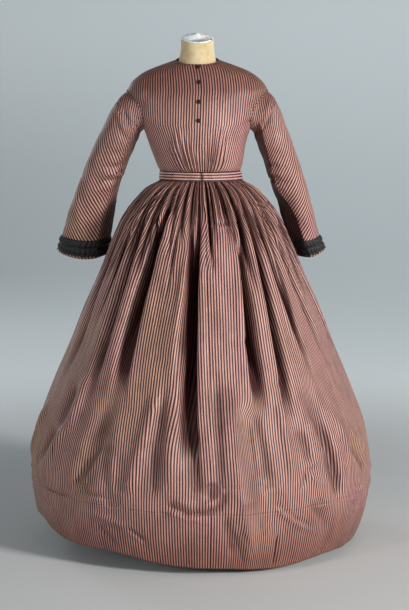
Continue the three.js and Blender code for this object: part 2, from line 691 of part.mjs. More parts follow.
const foot = addPiece(
  "stand_foot",
  new THREE.LatheGeometry(
    [
      new THREE.Vector2(0, 0),
      new THREE.Vector2(FOOT.radius, 0),
      new THREE.Vector2(FOOT.radius, FOOT.edge * 0.6),
      new THREE.Vector2(FOOT.radius - 6, FOOT.edge),
      new THREE.Vector2(FOOT.hubRadius + 14, FOOT.edge + 4),
      new THREE.Vector2(FOOT.hubRadius, FOOT.hubTop),
      new THREE.Vector2(0, FOOT.hubTop),
    ],
    FOOT.sides,
  ),
  IRON,
);
foot.rotation.x = Math.PI / 2;

export default part;
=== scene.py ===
import bpy
import numpy as np
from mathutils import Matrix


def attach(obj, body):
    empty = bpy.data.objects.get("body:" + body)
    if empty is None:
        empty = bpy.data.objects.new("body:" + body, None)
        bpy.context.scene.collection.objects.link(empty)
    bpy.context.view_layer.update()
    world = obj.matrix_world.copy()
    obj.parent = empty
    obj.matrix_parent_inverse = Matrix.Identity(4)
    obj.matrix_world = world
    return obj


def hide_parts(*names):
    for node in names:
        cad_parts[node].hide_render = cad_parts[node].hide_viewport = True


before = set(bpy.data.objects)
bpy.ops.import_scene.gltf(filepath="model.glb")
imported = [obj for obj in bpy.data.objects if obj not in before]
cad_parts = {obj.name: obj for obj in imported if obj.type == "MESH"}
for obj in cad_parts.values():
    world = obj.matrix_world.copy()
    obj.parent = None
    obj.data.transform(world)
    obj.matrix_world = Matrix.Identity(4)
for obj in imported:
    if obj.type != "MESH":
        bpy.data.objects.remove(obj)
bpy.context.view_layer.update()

# ---- Dress form
# A padded figure without limbs, covered in cream canvas that has yellowed and spotted with age. It
# fills out the bodice and hips. Its neck is cut off at a slope, and a thin lid of white-painted
# plaster, chipped round the rim, is glued on the cut.

# Height at the centre front, climb from there to the back, half width, depth of the front and of
# the back, and the middle's offset towards +X, in mm. The bodice is cut to this figure.
FIGURE = (
    (947, 0, 101, 79, 76, -2), (957, 0, 106, 85, 78, -3), (985, 0, 114, 93, 81, -6),
    (1015, 0, 122, 98, 85, -9), (1052, 0, 134, 100, 90, -10), (1099, 0, 159, 94, 94, -10),
    (1128, 3, 170, 88, 92, -10), (1146, 6, 175, 81, 88, -9), (1159, 10, 168, 75, 83, -9),
    (1172, 14, 153, 70, 77, -9), (1185, 17, 131, 65, 71, -9), (1199, 20, 93, 58, 64, -9),
    (1211, 22, 53, 52, 58, -9),
)
HIPS = (
    (775, 0, 108, 84, 92, 0), (800, 0, 119, 92, 102, 0), (850, 0, 117, 88, 100, 0),
    (890, 0, 103, 78, 82, 0), (923, 0, 92, 68, 67, 0), (937, 0, 93, 70, 68, -1),
)
NECK = (
    (1209, 22, 48, 48, 52, -9), (1222, 22, 44.5, 46, 47, -9), (1240, 22, 41.5, 43, 42, -9),
    (1258, 22, 41, 43, 40, -9), (1264, 23, 40, 42, 39, -9),
)
PADDING_GAP = 5.2  # the form stays this far inside the bodice's outer face


def curve_through(rows, at):
    """Smooth values between the rows of a table whose first column is the place: cubic pieces that
    meet each row's value with the harmonic mean of the two chords there as slope, or level where
    the chords turn. Gives one array for each further column."""
    rows = np.asarray(rows, float)
    rows = rows[np.argsort(rows[:, 0])]
    place, value = rows[:, 0], rows[:, 1:]
    gap = np.diff(place)[:, None]
    chord = np.diff(value, axis=0) / gap
    before, after = chord[:-1], chord[1:]
    same = before * after > 0
    mean = np.where(same, 2 * before * after / np.where(same, before + after, 1), 0)
    slope = np.concatenate([chord[:1], mean, chord[-1:]])
    at = np.asarray(at, float)
    k = np.clip(np.searchsorted(place, at, side="right") - 1, 0, len(place) - 2)
    width = gap[k]
    t = np.clip((at - place[k])[..., None] / width, 0, 1)
    curve = (
        (2 * t**3 - 3 * t**2 + 1) * value[k]
        + (t**3 - 2 * t**2 + t) * width * slope[k]
        + (3 * t**2 - 2 * t**3) * value[k + 1]
        + (t**3 - t**2) * width * slope[k + 1]
    )
    return np.moveaxis(curve, -1, 0)


def together(*parts):
    """Arrays that fit each other's shape, as the coordinates of one grid of points."""
    return np.stack(np.broadcast_arrays(*parts), axis=-1)


def oval(angle, z, half, front, back, centre=0):
    """x = centre + half*sin(angle), y = -depth*cos(angle), where the angle runs in degrees from the
    centre front towards +X and depth is front on the front half and back behind it."""
    turn = np.radians(angle)
    depth = np.where(np.cos(turn) > 0, front, back)
    return together(centre + half * np.sin(turn), -depth * np.cos(turn), z)


def figure_ring(angle, level, rise, half, front, back, centre):
    """One oval ring that climbs from its front to its back: z = level + rise*(1 - cos(angle))/2."""
    climb = rise * (1 - np.cos(np.radians(angle))) / 2
    return oval(angle, level + climb, half, front, back, centre)


def normals(points, ring=False):
    """Unit normals of a grid: the step along the row crossed with the step up the column."""
    if ring:
        across = np.roll(points, -1, axis=1) - np.roll(points, 1, axis=1)
    else:
        across = np.gradient(points, axis=1)
    facing = np.cross(across, np.gradient(points, axis=0))
    return facing / np.maximum(np.linalg.norm(facing, axis=-1, keepdims=True), 1e-9)


def surface(name, points, ring=False, ends=False, weave=None, turned=False, hollow=None):
    """A mesh from a grid of points in mm. Face (row, column) joins that point to its neighbours, so
    it faces outwards where rows go up and columns go round towards +X; turned swaps that. A ring
    joins its last column to its first, and ends closes its first and last row. weave is the place
    of each point in the flat cloth in metres, with one more column on a ring, and is the UV map.
    The last argument is painted shade for each point, from 0 to 1, kept as a point attribute."""
    rows, columns = points.shape[:2]
    number = np.arange(rows * columns).reshape(rows, columns)
    if ring:
        number = np.concatenate([number, number[:, :1]], axis=1)
    corners = [(0, 0), (0, 1), (1, 1), (1, 0)]
    if turned:
        corners.reverse()
    high, wide = number.shape[0] - 1, number.shape[1] - 1

    def at_corners(grid):
        return np.stack([grid[a : a + high, b : b + wide] for a, b in corners], axis=2)

    faces = at_corners(number).reshape(-1, 4).tolist()
    if ends:
        faces += [number[0, :columns][::-1].tolist(), number[-1, :columns].tolist()]
    mesh = bpy.data.meshes.new(name)
    mesh.from_pydata((points.reshape(-1, 3) / 1000).tolist(), [], faces)
    mesh.polygons.foreach_set("use_smooth", np.ones(len(faces), bool))
    if weave is not None:
        flat = at_corners(weave).reshape(-1, 2)
        if ends:
            flat = np.concatenate([flat, weave[0, :columns][::-1], weave[-1, :columns]])
        layer = mesh.uv_layers.new(name="cloth")
        layer.uv.foreach_set("vector", flat.astype(np.float32).ravel())
    if hollow is not None:
        layer = mesh.attributes.new("hollow", "FLOAT", "POINT")
        layer.data.foreach_set("value", hollow.astype(np.float32).ravel())
    piece = bpy.data.objects.new(name, mesh)
    bpy.context.scene.collection.objects.link(piece)
    return piece


def fit(piece, finish, slot, *nodes):
    """Gives a piece its finish and its place: it rides on the dress's one body and stands for the
    named solids."""
    piece.data.materials.append(finish)
    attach(piece, "root")
    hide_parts(*nodes)


def paint(red, green, blue):
    """An sRGB colour of 0 to 255 as linear RGBA: ((c + 0.055)/1.055)**2.4, or c/12.92 if dark."""
    c = np.array([red, green, blue]) / 255
    linear = np.where(c > 0.04045, ((c + 0.055) / 1.055) ** 2.4, c / 12.92)
    return (*linear.tolist(), 1.0)


class Dye:
    """One output socket of a finish's nodes. Arithmetic on it adds Math nodes."""

    def __init__(self, tree, socket=None):
        self.tree = tree
        self.socket = socket

    def join(self, socket, value):
        """Links a Dye to an input socket, or sets a plain value on it."""
        if isinstance(value, Dye):
            self.tree.links.new(value.socket, socket)
        else:
            socket.default_value = value

    def node(self, kind, settings={}, inputs={}, output=0):
        """Adds a node: its settings are set first, then the values or links of its inputs."""
        made = self.tree.nodes.new(kind)
        for key, value in settings.items():
            setattr(made, key, value)
        for key, value in inputs.items():
            self.join(made.inputs[key], value)
        return Dye(self.tree, made.outputs[output])

    def connect(self, **inputs):
        """Joins values to the shader's sockets by name, where a low line stands for a space."""
        shader = self.tree.nodes["Principled BSDF"]
        for key, value in inputs.items():
            self.join(shader.inputs[key.replace("_", " ")], value)

    def place(self):
        """The place on the object, in metres."""
        return self.node("ShaderNodeTexCoord", output="Object")

    def cloth(self):
        """The place in the flat cloth, in metres."""
        return self.node("ShaderNodeUVMap", {"uv_map": "cloth"})

    def axis(self, number):
        """One coordinate of a place: 0, 1 or 2."""
        return self.node("ShaderNodeSeparateXYZ", {}, {0: self}, number)

    def math(self, operation, *values):
        return self.node("ShaderNodeMath", {"operation": operation}, dict(enumerate(values)))

    def __add__(self, other):
        return self.math("ADD", self, other)

    __radd__ = __add__

    def __sub__(self, other):
        return self.math("SUBTRACT", self, other)

    def __rsub__(self, other):
        return self.math("SUBTRACT", other, self)

    def __mul__(self, other):
        return self.math("MULTIPLY", self, other)

    __rmul__ = __mul__

    def sine(self):
        return self.math("SINE", self)

    def step(self, low, high):
        """0 below low, 1 above high and a smooth step between them; low may be the larger."""
        settings = {"interpolation_type": "SMOOTHSTEP"}
        ends = {"Value": self, 1: low, 2: high}
        if low > high:
            ends = {"Value": self, 1: high, 2: low, 3: 1.0, 4: 0.0}
        return self.node("ShaderNodeMapRange", settings, ends)

    def noise(self, place, scale, detail=2.0, rough=0.5):
        inputs = {"Vector": place, "Scale": scale, "Detail": detail, "Roughness": rough}
        return self.node("ShaderNodeTexNoise", {}, inputs)

    def stretched(self, place, scale, move=(0, 0, 0)):
        inputs = {"Vector": place, "Scale": scale, "Location": move}
        return self.node("ShaderNodeMapping", {}, inputs)

    def mix(self, share, under, over, how="MIX"):
        """Colour under with colour over laid on it by share."""
        settings = {"data_type": "RGBA", "blend_type": how}
        return self.node("ShaderNodeMix", settings, {0: share, 6: under, 7: over}, output=2)

    def relief(self, height, distance, strength=1.0, under=None):
        inputs = {"Height": height, "Distance": distance, "Strength": strength}
        if under is not None:
            inputs["Normal"] = under
        return self.node("ShaderNodeBump", {}, inputs)


def new_finish(name):
    """A material with a bare Principled shader, and the Dye that adds nodes to it."""
    finish = bpy.data.materials.new(name)
    finish.use_nodes = True
    return finish, Dye(finish.node_tree)


canvas, dye = new_finish("aged_canvas")
place = dye.place()
stains = dye.noise(place, 22.0, 4.0, 0.6).step(0.42, 0.7)
specks = dye.noise(place, 170.0, 3.0, 0.6).step(0.66, 0.74)
pale = dye.noise(dye.stretched(place, (1, 1, 0.35), move=(3, 1, 2)), 38.0, 3.0).step(0.45, 0.72)
colour = dye.mix(stains, paint(202, 182, 140), paint(176, 148, 104))
colour = dye.mix(pale * 0.5, colour, paint(222, 211, 182))
colour = dye.mix(specks * 0.7, colour, paint(104, 84, 62))
threads = dye.noise(dye.stretched(place, (900, 900, 260)), 1.0, 1.0)
cross_threads = dye.noise(dye.stretched(place, (260, 260, 900)), 1.0, 1.0)
lumps = dye.noise(place, 60.0, 3.0)
dye.connect(
    Base_Color=colour,
    Roughness=0.86 + stains * 0.08,
    Normal=dye.relief(threads + cross_threads + lumps * 2.0, 0.0006, 0.7),
)

trunk_levels = (957, 985, 1020, 1052, 1078, 1099, 1128, 1146, 1158, 1172, 1185, 1203)
trunk_rows = [(level, *curve_through(FIGURE, level)) for level in trunk_levels]
# Row 5 is the top of the hips and rows 6 to 17 are the trunk, which the bodice covers.
form_rows = [(k, *row) for k, row in enumerate([*HIPS, *trunk_rows, *NECK])]
angle = np.linspace(0, 360, 96, endpoint=False)[None, :]
ring_number = np.linspace(0, len(form_rows) - 1, 110)[:, None]
form_points = figure_ring(angle, *curve_through(form_rows, ring_number))
in_bodice = curve_through([(5, 0), (6, 1), (17, 1), (18, 0)], ring_number)[0] * PADDING_GAP
form_points -= normals(form_points, ring=True) * in_bodice[..., None]
form = surface("form_figure", form_points, ring=True, ends=True)
fit(form, canvas, "form_canvas", "form_body")

plaster, dye = new_finish("chipped_plaster")
place = dye.place()
chips = dye.noise(place, 95.0, 4.0, 0.65).step(0.6, 0.66)
grime = dye.noise(place, 40.0, 3.0).step(0.4, 0.75)
colour = dye.mix(grime * 0.5, paint(236, 241, 242), paint(198, 205, 204))
colour = dye.mix(chips, colour, paint(88, 78, 66))
dye.connect(
    Base_Color=colour,
    Roughness=0.5 + chips * 0.35,
    Normal=dye.relief(grime * 0.5 - chips, 0.0008, 0.8),
)

top_row = NECK[-1]
# How far each ring of the lid lies inside the neck's rim and above it, in mm.
CAP_RINGS = ((1, 0.3), (0.4, 1.2), (0.6, 2.4), (2, 3.4), (5, 3.9), (14, 4.0), (26, 3.7), (36, 3.9))
cap_rings = []
for inset, lift in CAP_RINGS:
    sizes = (top_row[2] - inset, top_row[3] - inset, top_row[4] - inset)
    cap_rings.append(figure_ring(angle[0], top_row[0] + lift, top_row[1], *sizes, top_row[5]))
cap_points = np.array(cap_rings)
wear_and_shoulder_shade = 0.35 * np.sin(np.radians(angle * 5 + 40)) * np.sin(np.radians(angle * 11 + 10))
cap_points[3:6, :, 2] += wear_and_shoulder_shade
lid = surface("neck_lid", cap_points, ring=True, ends=True)
fit(lid, plaster, "form_plaster", "form_neck_cap")

# ---- Stand
# A dark painted iron pole under the form, screwed into a round cast foot. Both are turned parts
# that the skirt hides, and they keep their own solids.
iron, dye = new_finish("painted_iron")
place = dye.place()
scuffs = dye.noise(place, 45.0, 4.0, 0.65).step(0.58, 0.7)
casting = dye.noise(place, 220.0, 2.0)
colour = dye.mix(scuffs * 0.6, paint(34, 32, 31), paint(92, 84, 76))
dye.connect(
    Base_Color=colour,
    Metallic=0.3 + scuffs * 0.4,
    Roughness=0.42 + casting * 0.2,
    Normal=dye.relief(casting, 0.0004, 0.6),
)
for node in ("stand_pole", "stand_foot"):
    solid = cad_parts[node]
    solid.data.materials.clear()
    solid.data.materials.append(iron)

# ---- Bodice
# Two fronts and a back of silk stripes, mounted on brown cotton and sewn with fine seams under the
# arms and over the shoulders. The fronts' fullness is drawn into a fan of small gathers at the
# waist. A corded piping finishes the neck, and the left front laps over the right one.
CLOTH, SEAM_GAP = 1.6, 0.3
# From one stripe, fine rib, weft thread and hem stitch to the next, in metres.
STRIPE, RIB, WEFT, STITCH = 0.0068, 0.0011, 0.0009, 0.008
# The seams' and armholes' places: levels in mm, angles in degrees.
SIDE_SEAM = 96
WAIST_LINE, NECK_LINE = 947, 1211
ARMHOLE_LEVEL, ARMHOLE_HALF_LEVEL, ARMHOLE_HALF_ANGLE = 1099, 47, 34
ARMHOLE_FOOT, ARMHOLE_HEAD = ARMHOLE_LEVEL - ARMHOLE_HALF_LEVEL, ARMHOLE_LEVEL + ARMHOLE_HALF_LEVEL
FAN_TOP = 1062
# Each gather of the fan is full up to the first level, and the waistband presses it flat between
# the other two.
FAN_FULL, PRESS_TOP, PRESS_FOOT = 968, 956, 940
CHEST_DEGREE = 2.4  # mm round the chest for each degree
# The fan's gathers: angle at the waist and at the fan's top, and the level of the gather's own top;
# how far it stands out, in mm; and its half width in degrees.
FAN = (
    (4.4, 6.5, 1006, 4.6, 1.0), (7.6, 11, 1030, 6.4, 1.1), (11.0, 16, 1050, 7.4, 1.2),
    (14.6, 22, 1064, 8.4, 1.3), (18.4, 29, 1072, 8.6, 1.4), (22.6, 37, 1060, 7.4, 1.5),
    (27, 44, 1034, 5.6, 1.6), (-1.6, -3.5, 1012, 5.0, 1.0), (-5.0, -8, 1038, 6.8, 1.1),
    (-8.6, -13.5, 1056, 7.8, 1.2), (-12.4, -19.5, 1066, 8.6, 1.3), (-16.4, -26.5, 1060, 8.2, 1.4),
    (-20.8, -34, 1048, 7.2, 1.5), (-25.6, -41, 1030, 5.6, 1.6),
)
# Soft creases of the worn bodice: angle and level of both ends, height (less than 0 for a hollow)
# and half width, in mm.
BODICE_CREASES = (
    (52, 1062, 74, 1078, -2.2, 9), (58, 1040, 80, 1052, 1.8, 8),
    (60, 1120, 46, 1148, 2.0, 9), (62, 1098, 50, 1120, -2.2, 8),
    (-52, 1060, -76, 1076, -2.2, 9), (-58, 1038, -82, 1050, 1.8, 8),
    (-60, 1122, -46, 1150, 2.0, 9), (-62, 1100, -50, 1122, -2.2, 8),
    (18, 1120, 42, 1098, 1.4, 14), (-20, 1124, -44, 1100, 1.4, 14),
    (30, 1180, 62, 1166, -1.5, 9), (-30, 1180, -62, 1166, -1.5, 9),
    (118, 1070, 150, 1052, 2.0, 9), (-118, 1072, -150, 1050, 2.0, 9),
    (132, 1120, 122, 1150, -2.4, 9), (-132, 1122, -122, 1152, -2.4, 9),
    (140, 1000, 172, 985, 1.5, 10), (-142, 1002, -170, 984, 1.5, 10),
)


def ramp(start, end, at):
    """0 before start, 1 after end, and t*t*(3 - 2t) between them; start may be the larger."""
    t = np.clip((at - start) / (end - start), 0, 1)
    return t * t * (3 - 2 * t)


def turned_by(angle, other):
    """How far angle lies from another one, from -180 to 180 degrees."""
    return (angle - other + 180) % 360 - 180


def crease(across, along, start, end, width):
    """1 on the line from start to end and exp(-(d/width)**2) at distance d from it, all in mm."""
    run = np.subtract(end, start)
    share = ((across - start[0]) * run[0] + (along - start[1]) * run[1]) / (run @ run)
    share = np.clip(share, 0, 1)
    d2 = (across - start[0] - share * run[0]) ** 2 + (along - start[1] - share * run[1]) ** 2
    fade = ramp(0, 0.25, share) * ramp(1, 0.75, share)
    return np.exp(-d2 / width**2) * (0.15 + 0.85 * fade)


def creased(across, along, rows, size=(1, 1)):
    """The sum of all creases of a table. Each row gives the places of both ends, the height and the
    half width, and size says how many mm one unit of across and of along is."""
    wide, long = size
    total = 0
    for a, low, b, high, height, width in rows:
        ends = (a * wide, low * long), (b * wide, high * long)
        total = total + height * crease(across * wide, along * long, *ends, width)
    return total


def fan_rise(level):
    """How far up the fan a level is, from 0 at the waist to 1 at the fan's top."""
    return np.clip((level - WAIST_LINE) / (FAN_TOP - WAIST_LINE), 0, 1)


def opening_angle(level):
    """Where the fronts meet, in degrees from the middle: 1.5 at the waist and 4 at the chest."""
    return 1.5 + 2.5 * ramp(WAIST_LINE, 1060, level)


def bodice_surface(angle, level):
    """The figure plus the fan and the worn creases. Each gather of the fan stands out by
    height*exp(-1.1*|d/w|**1.6), where d is the angle from its line, which spreads from the waist
    upwards, and it fades towards its top."""
    angle, level = np.broadcast_arrays(angle, np.asarray(level, float))
    points = figure_ring(angle, level, *curve_through(FIGURE, level))
    out = np.zeros(level.shape)
    rise = fan_rise(level)
    for waist, chest, top, height, wide in FAN:
        away = turned_by(angle, waist + (chest - waist) * rise**0.85)
        fade = ramp(top, FAN_FULL, level) * ramp(PRESS_FOOT, PRESS_TOP, level)
        bell = np.exp(-1.1 * np.abs(away / (wide * (1 + 0.5 * rise))) ** 1.6)
        out += height * (0.35 + 0.65 * fade) * ramp(top, top - 30, level) * bell
    out += creased(turned_by(angle, 0), level, BODICE_CREASES, (CHEST_DEGREE, 1))
    turn = np.radians(angle)
    return points + together(np.sin(turn), -np.cos(turn), 0) * out[..., None]


def armhole_half_angle(level):
    """Half the armhole's angle at a level: half*sqrt(1 - ((level - middle)/reach)**2)."""
    t = (level - ARMHOLE_LEVEL) / ARMHOLE_HALF_LEVEL
    return ARMHOLE_HALF_ANGLE * np.sqrt(np.clip(1 - t * t, 0, 1))


def running_length(points, axis):
    """How far each point lies along its row or column, by adding the steps between points."""
    step = np.linalg.norm(np.diff(points, axis=axis), axis=-1)
    start = np.zeros_like(np.take(step, [0], axis=axis))
    return np.concatenate([start, np.cumsum(step, axis=axis)], axis=axis)


def silk(name, lean=0.0, seed=0.0, hem=None):
    """Striped silk. A stripe's place is u*cos(lean) - v*sin(lean) in the flat cloth; its light and
    dark bands come from a sine that is squeezed at its edges, under a web of fine ribs. The colour
    fades to gold in random patches and blushes to pink; where the skirt is widest, the gold is
    painted sheen. It is darker near the floor, and it has painted shade over the shoulders and,
    where the point attribute lays it, in the beds of folds, at the waistband's lap and on the
    sleeves' inner sides. The cloth is crumpled finely along its length, and a broken line of
    stitches lies at the height hem above its lower edge."""
    finish, dye = new_finish(name)
    cloth, place = dye.cloth(), dye.place()
    u, v = cloth.axis(0), cloth.axis(1)
    cos, sin = float(np.cos(np.radians(lean))), float(np.sin(np.radians(lean)))
    across, along = u * cos - v * sin, u * sin + v * cos
    shake = dye.noise(dye.stretched(cloth, (30, 12, 1), move=(seed, 0, 0)), 1.0, 2.0)
    band = ((across + shake * 0.0008) * (2 * np.pi / STRIPE)).sine()
    light = band.step(-0.4, 0.5)
    rib = (across * (2 * np.pi / RIB)).sine() * 0.5 + 0.5
    weft = (along * (2 * np.pi / WEFT)).sine() * 0.5 + 0.5
    broad = dye.noise(dye.stretched(place, (1, 1, 0.6), move=(seed, seed, 0)), 5.5, 3.0, 0.55)
    small = dye.noise(dye.stretched(place, (1, 1, 0.5), move=(0, seed, seed)), 26.0, 3.0, 0.6)
    height = place.axis(2)
    # Painted sheen: gold on the skirt's sides, where it is widest, between about 0.14 and 0.46 m
    # high; the broad gold patches are random tone.
    sides = dye.math("ABSOLUTE", place.axis(0)).step(0.3, 0.43)
    sides = sides * height.step(0.46, 0.3) * height.step(0.14, 0.22)
    gold_tone_and_side_sheen = broad.step(0.5, 0.68) * 0.8 + sides * small
    blush = dye.noise(dye.stretched(place, (1, 1, 0.5), move=(2, seed, 5)), 7.0, 2.0)
    blush = blush.step(0.5, 0.7)
    pale = dye.mix(gold_tone_and_side_sheen * 0.6, paint(206, 157, 143), paint(203, 163, 123))
    pale = dye.mix(blush * 0.5, pale, paint(208, 150, 150))
    dark = dye.mix(gold_tone_and_side_sheen * 0.6, paint(52, 16, 32), paint(54, 27, 20))
    dark = dye.mix(blush * 0.5, dark, paint(56, 15, 42))
    colour = dye.mix(light, dark, pale)
    # Darker near the floor, below about 0.2 m.
    darker_near_floor = (height + broad * 0.12).step(0.22, 0.08)
    colour = dye.mix(darker_near_floor * 0.7, colour, paint(190, 156, 140), "MULTIPLY")
    # Painted shade over the shoulders: the silk is darker above about 1.1 m.
    wear_and_shoulder_shade = (height + broad * 0.06).step(1.1, 1.2)
    colour = dye.mix(wear_and_shoulder_shade * 0.7, colour, paint(176, 150, 146), "MULTIPLY")
    # Painted shade: the point attribute darkens the colour in the beds of folds, at the waistband's
    # lap and on the sleeves' inner sides, and makes the silk a little rougher there.
    hollow = dye.node("ShaderNodeAttribute", {"attribute_name": "hollow"}, output=2)
    colour = dye.mix(hollow, colour, paint(112, 66, 62), "MULTIPLY")
    ribs = dye.mix(rib, paint(70, 60, 60), paint(200, 200, 200))
    colour = dye.mix(0.16, colour, ribs, "OVERLAY")
    colour = dye.mix(small.step(0.35, 0.75) * 0.3, colour, paint(120, 92, 86), "MULTIPLY")
    crumple = dye.noise(dye.stretched(cloth, (95, 22, 1), move=(seed, seed, 0)), 1.0, 4.0, 0.6)
    dents = dye.noise(dye.stretched(place, (1, 1, 0.7), move=(seed, 0, 0)), 60.0, 3.0, 0.55)
    ups = crumple * 1.4 + dents
    if hem is not None:
        wander = dye.noise(dye.stretched(cloth, (9, 0, 1)), 1.0, 2.0) * 0.012
        above = dye.math("ABSOLUTE", v + wander - (hem + 0.006))
        stitches = (u * (2 * np.pi / STITCH)).sine().step(-0.4, 0.4)
        puckers = above.step(0.012, 0.0) * dye.noise(dye.stretched(cloth, (210, 30, 1)), 1.0, 2.0)
        line = above.step(0.0016, 0.0006)
        colour = dye.mix(line * (0.1 + stitches * 0.32), colour, paint(58, 30, 30))
        ups = ups + puckers * 0.9 - above.step(0.005, 0.0) * 0.6
    folds = dye.relief(ups, 0.0035, 0.45)
    dye.connect(
        Base_Color=colour,
        Roughness=0.42 + small * 0.18 + hollow * 0.2,
        Normal=dye.relief(rib * 0.5 + weft * 0.5 + light * 0.6, 0.00018, 0.5, under=folds),
        Specular_IOR_Level=0.42,
    )
    return finish


# Brown glazed cotton behind the silk: a plain weave with soft stains.
cotton_lining, dye = new_finish("brown_cotton_lining")
place = dye.place()
stains = dye.noise(place, 14.0, 3.0).step(0.4, 0.7)
plain_weave = dye.noise(dye.stretched(place, (800, 800, 800)), 1.0, 1.0)
dye.connect(
    Base_Color=dye.mix(stains, paint(128, 98, 72), paint(98, 74, 54)),
    Roughness=0.7 + stains * 0.1,
    Normal=dye.relief(plain_weave, 0.0003),
)


def lined_silk(name, points, weave, finish, node, thickness=CLOTH, **details):
    """A piece of silk that stands for a node, thickened inwards, with cotton on its inner face."""
    piece = surface(name, points, weave=weave, **details)
    fit(piece, finish, "striped_silk", node)
    piece.data.materials.append(cotton_lining)
    wall = piece.modifiers.new("cotton_backing", "SOLIDIFY")
    wall.thickness = thickness / 1000
    wall.offset = -1
    wall.material_offset = 1
    return piece


bodice_silk = silk("bodice_striped_silk", seed=1.0)
levels = np.concatenate(
    [
        np.linspace(WAIST_LINE + SEAM_GAP, ARMHOLE_FOOT, 54)[:-1],
        ARMHOLE_LEVEL - ARMHOLE_HALF_LEVEL * np.cos(np.linspace(0, np.pi, 42)),
        np.linspace(ARMHOLE_HEAD, NECK_LINE, 25)[1:],
    ]
)[:, None]
half_width = curve_through(FIGURE, levels)[1]
gap_angle = np.degrees(SEAM_GAP / 2 / half_width)
opening = opening_angle(levels)
seam_edge = SIDE_SEAM - armhole_half_angle(levels) - gap_angle
chest_row = int(np.argmin(np.abs(levels[:, 0] - FAN_TOP)))
height_up = (levels - levels[0]) / 1000
PAST_FAN = 55  # no gather reaches this angle

for side, name in ((-1, "left"), (1, "right")):
    ends = (-seam_edge, opening - gap_angle) if side < 0 else (opening + gap_angle, seam_edge)
    share = np.linspace(0, 1, 150)[None, :]
    angle = ends[0] + (ends[1] - ends[0]) * share
    points = bodice_surface(angle, levels)
    # Below the fan's top the threads keep their distance from the side seam, and what cloth is left
    # over at the opening is gathered into the fan.
    length = running_length(points, 1) / 1000
    from_opening = length if side > 0 else length[:, -1:] - length
    to_side = side * np.linspace(PAST_FAN, SIDE_SEAM, 60)[None, :]
    toward_seam = figure_ring(to_side, levels, *curve_through(FIGURE, levels))
    to_seam = running_length(toward_seam, 1)[:, -1:] / 1000
    to_fan = np.where(np.abs(angle) < PAST_FAN, from_opening, 0).max(axis=1, keepdims=True)
    in_fan = levels < levels[chest_row]
    spread = np.where(in_fan, to_seam[chest_row] - to_seam, 0)
    spread = spread + np.where(in_fan, to_fan[chest_row] - to_fan, 0)
    fan_angle = 30 + 14 * fan_rise(levels)
    have = np.where(np.abs(angle) < fan_angle, from_opening, 0).max(axis=1, keepdims=True)
    across = from_opening + spread * np.minimum(from_opening / have, 1)
    weave = together(across * side, height_up)
    node = f"bodice_front_{name}"
    front = lined_silk(f"silk_front_{name}", points, weave, bodice_silk, node)

back_from = SIDE_SEAM + armhole_half_angle(levels) + gap_angle
BACK_COLUMNS = 87
angle = back_from + (360 - 2 * back_from) * np.linspace(0, 1, BACK_COLUMNS)[None, :]
points = bodice_surface(angle, levels)
length = running_length(points, 1) / 1000
weave = together(length - length[:, [BACK_COLUMNS // 2]], height_up)
back = lined_silk("silk_back", points, weave, bodice_silk, "bodice_back")


def cord_along(name, path, radius, closed=False, flat=1.0, twist=0.0, sides=8):
    """A round cord with its middle on a path of points in mm: at each point a circle of radius r
    lies across the path, squeezed by flat away from the body, with a slow wave of twist in r."""
    if closed:
        tangent = np.roll(path, -1, axis=0) - np.roll(path, 1, axis=0)
    else:
        tangent = np.gradient(path, axis=0)
    tangent = tangent / np.linalg.norm(tangent, axis=1, keepdims=True)
    middle = path[:, :2].mean(axis=0) if closed else np.zeros(2)
    away = together(*(path[:, :2] - middle).T, 0)
    away -= tangent * (away * tangent).sum(axis=1, keepdims=True)
    away /= np.maximum(np.linalg.norm(away, axis=1, keepdims=True), 1e-9)
    other = np.cross(tangent, away)
    turn = np.linspace(0, 2 * np.pi, sides, endpoint=False)
    size = radius * (1 + twist * np.sin(np.arange(len(path)) * 1.3))
    cos, sin = np.cos(turn)[:, None], np.sin(turn)[:, None]
    ring = away[:, None] * cos * flat + other[:, None] * sin
    points = path[:, None] + ring * size[:, None, None]
    along = running_length(path[:, None], 0)[:, 0] / 1000
    around = np.linspace(0, 2 * np.pi * radius / 1000, sides + 1)
    weave = together(around, along[:, None])
    if closed:
        points = np.concatenate([points, points[:1]])
        weave = np.concatenate([weave, weave[-1:] + (0, 0.001)])
    return surface(name, points, ring=True, ends=not closed, weave=weave)


piping_silk = silk("piping_bias_silk", lean=45.0, seed=4.0)
angle = np.linspace(4.6, 363.4, 260)
neck_edge = bodice_surface(angle, NECK_LINE) + (0, 0, 0.4)
neck_out = together(np.sin(np.radians(angle)), -np.cos(np.radians(angle)), 0)
neck_cord = cord_along("neck_piping", neck_edge + neck_out * 0.4, 1.5, twist=0.05)
fit(neck_cord, piping_silk, "striped_silk")
lap_levels = np.linspace(WAIST_LINE + 1, NECK_LINE, 150)
lap_edge = bodice_surface(opening_angle(lap_levels), lap_levels) + (0, -0.3, 0)
lap_cord = cord_along("lapped_front_edge", lap_edge, 1.0, flat=0.7, twist=0.05)
fit(lap_cord, bodice_silk, "striped_silk")
for side, name in ((-1, "left"), (1, "right")):
    under_arm = np.linspace(WAIST_LINE + 1, ARMHOLE_FOOT, 60)
    shoulder = np.linspace(ARMHOLE_HEAD + 1, NECK_LINE, 40)
    for seam, seam_levels in (("side", under_arm), ("shoulder", shoulder)):
        path = bodice_surface(side * SIDE_SEAM, seam_levels)
        cord = cord_along(f"{seam}_seam_{name}", path, 0.7, sides=6)
        fit(cord, piping_silk, "striped_silk")

# ---- Buttons
# Four small dome buttons covered in dark velvet-like cloth, each sewn down through its shank in the
# middle of the lapped front. The gathers of the cover pucker their rims a little.
BUTTON_RADIUS, BUTTON_HEIGHT, BUTTON_ANGLE, BUTTON_STAND_OFF = 5.5, 4.5, 1.6, 0.45
BUTTON_LEVELS = (1206, 1169, 1121, 1075)
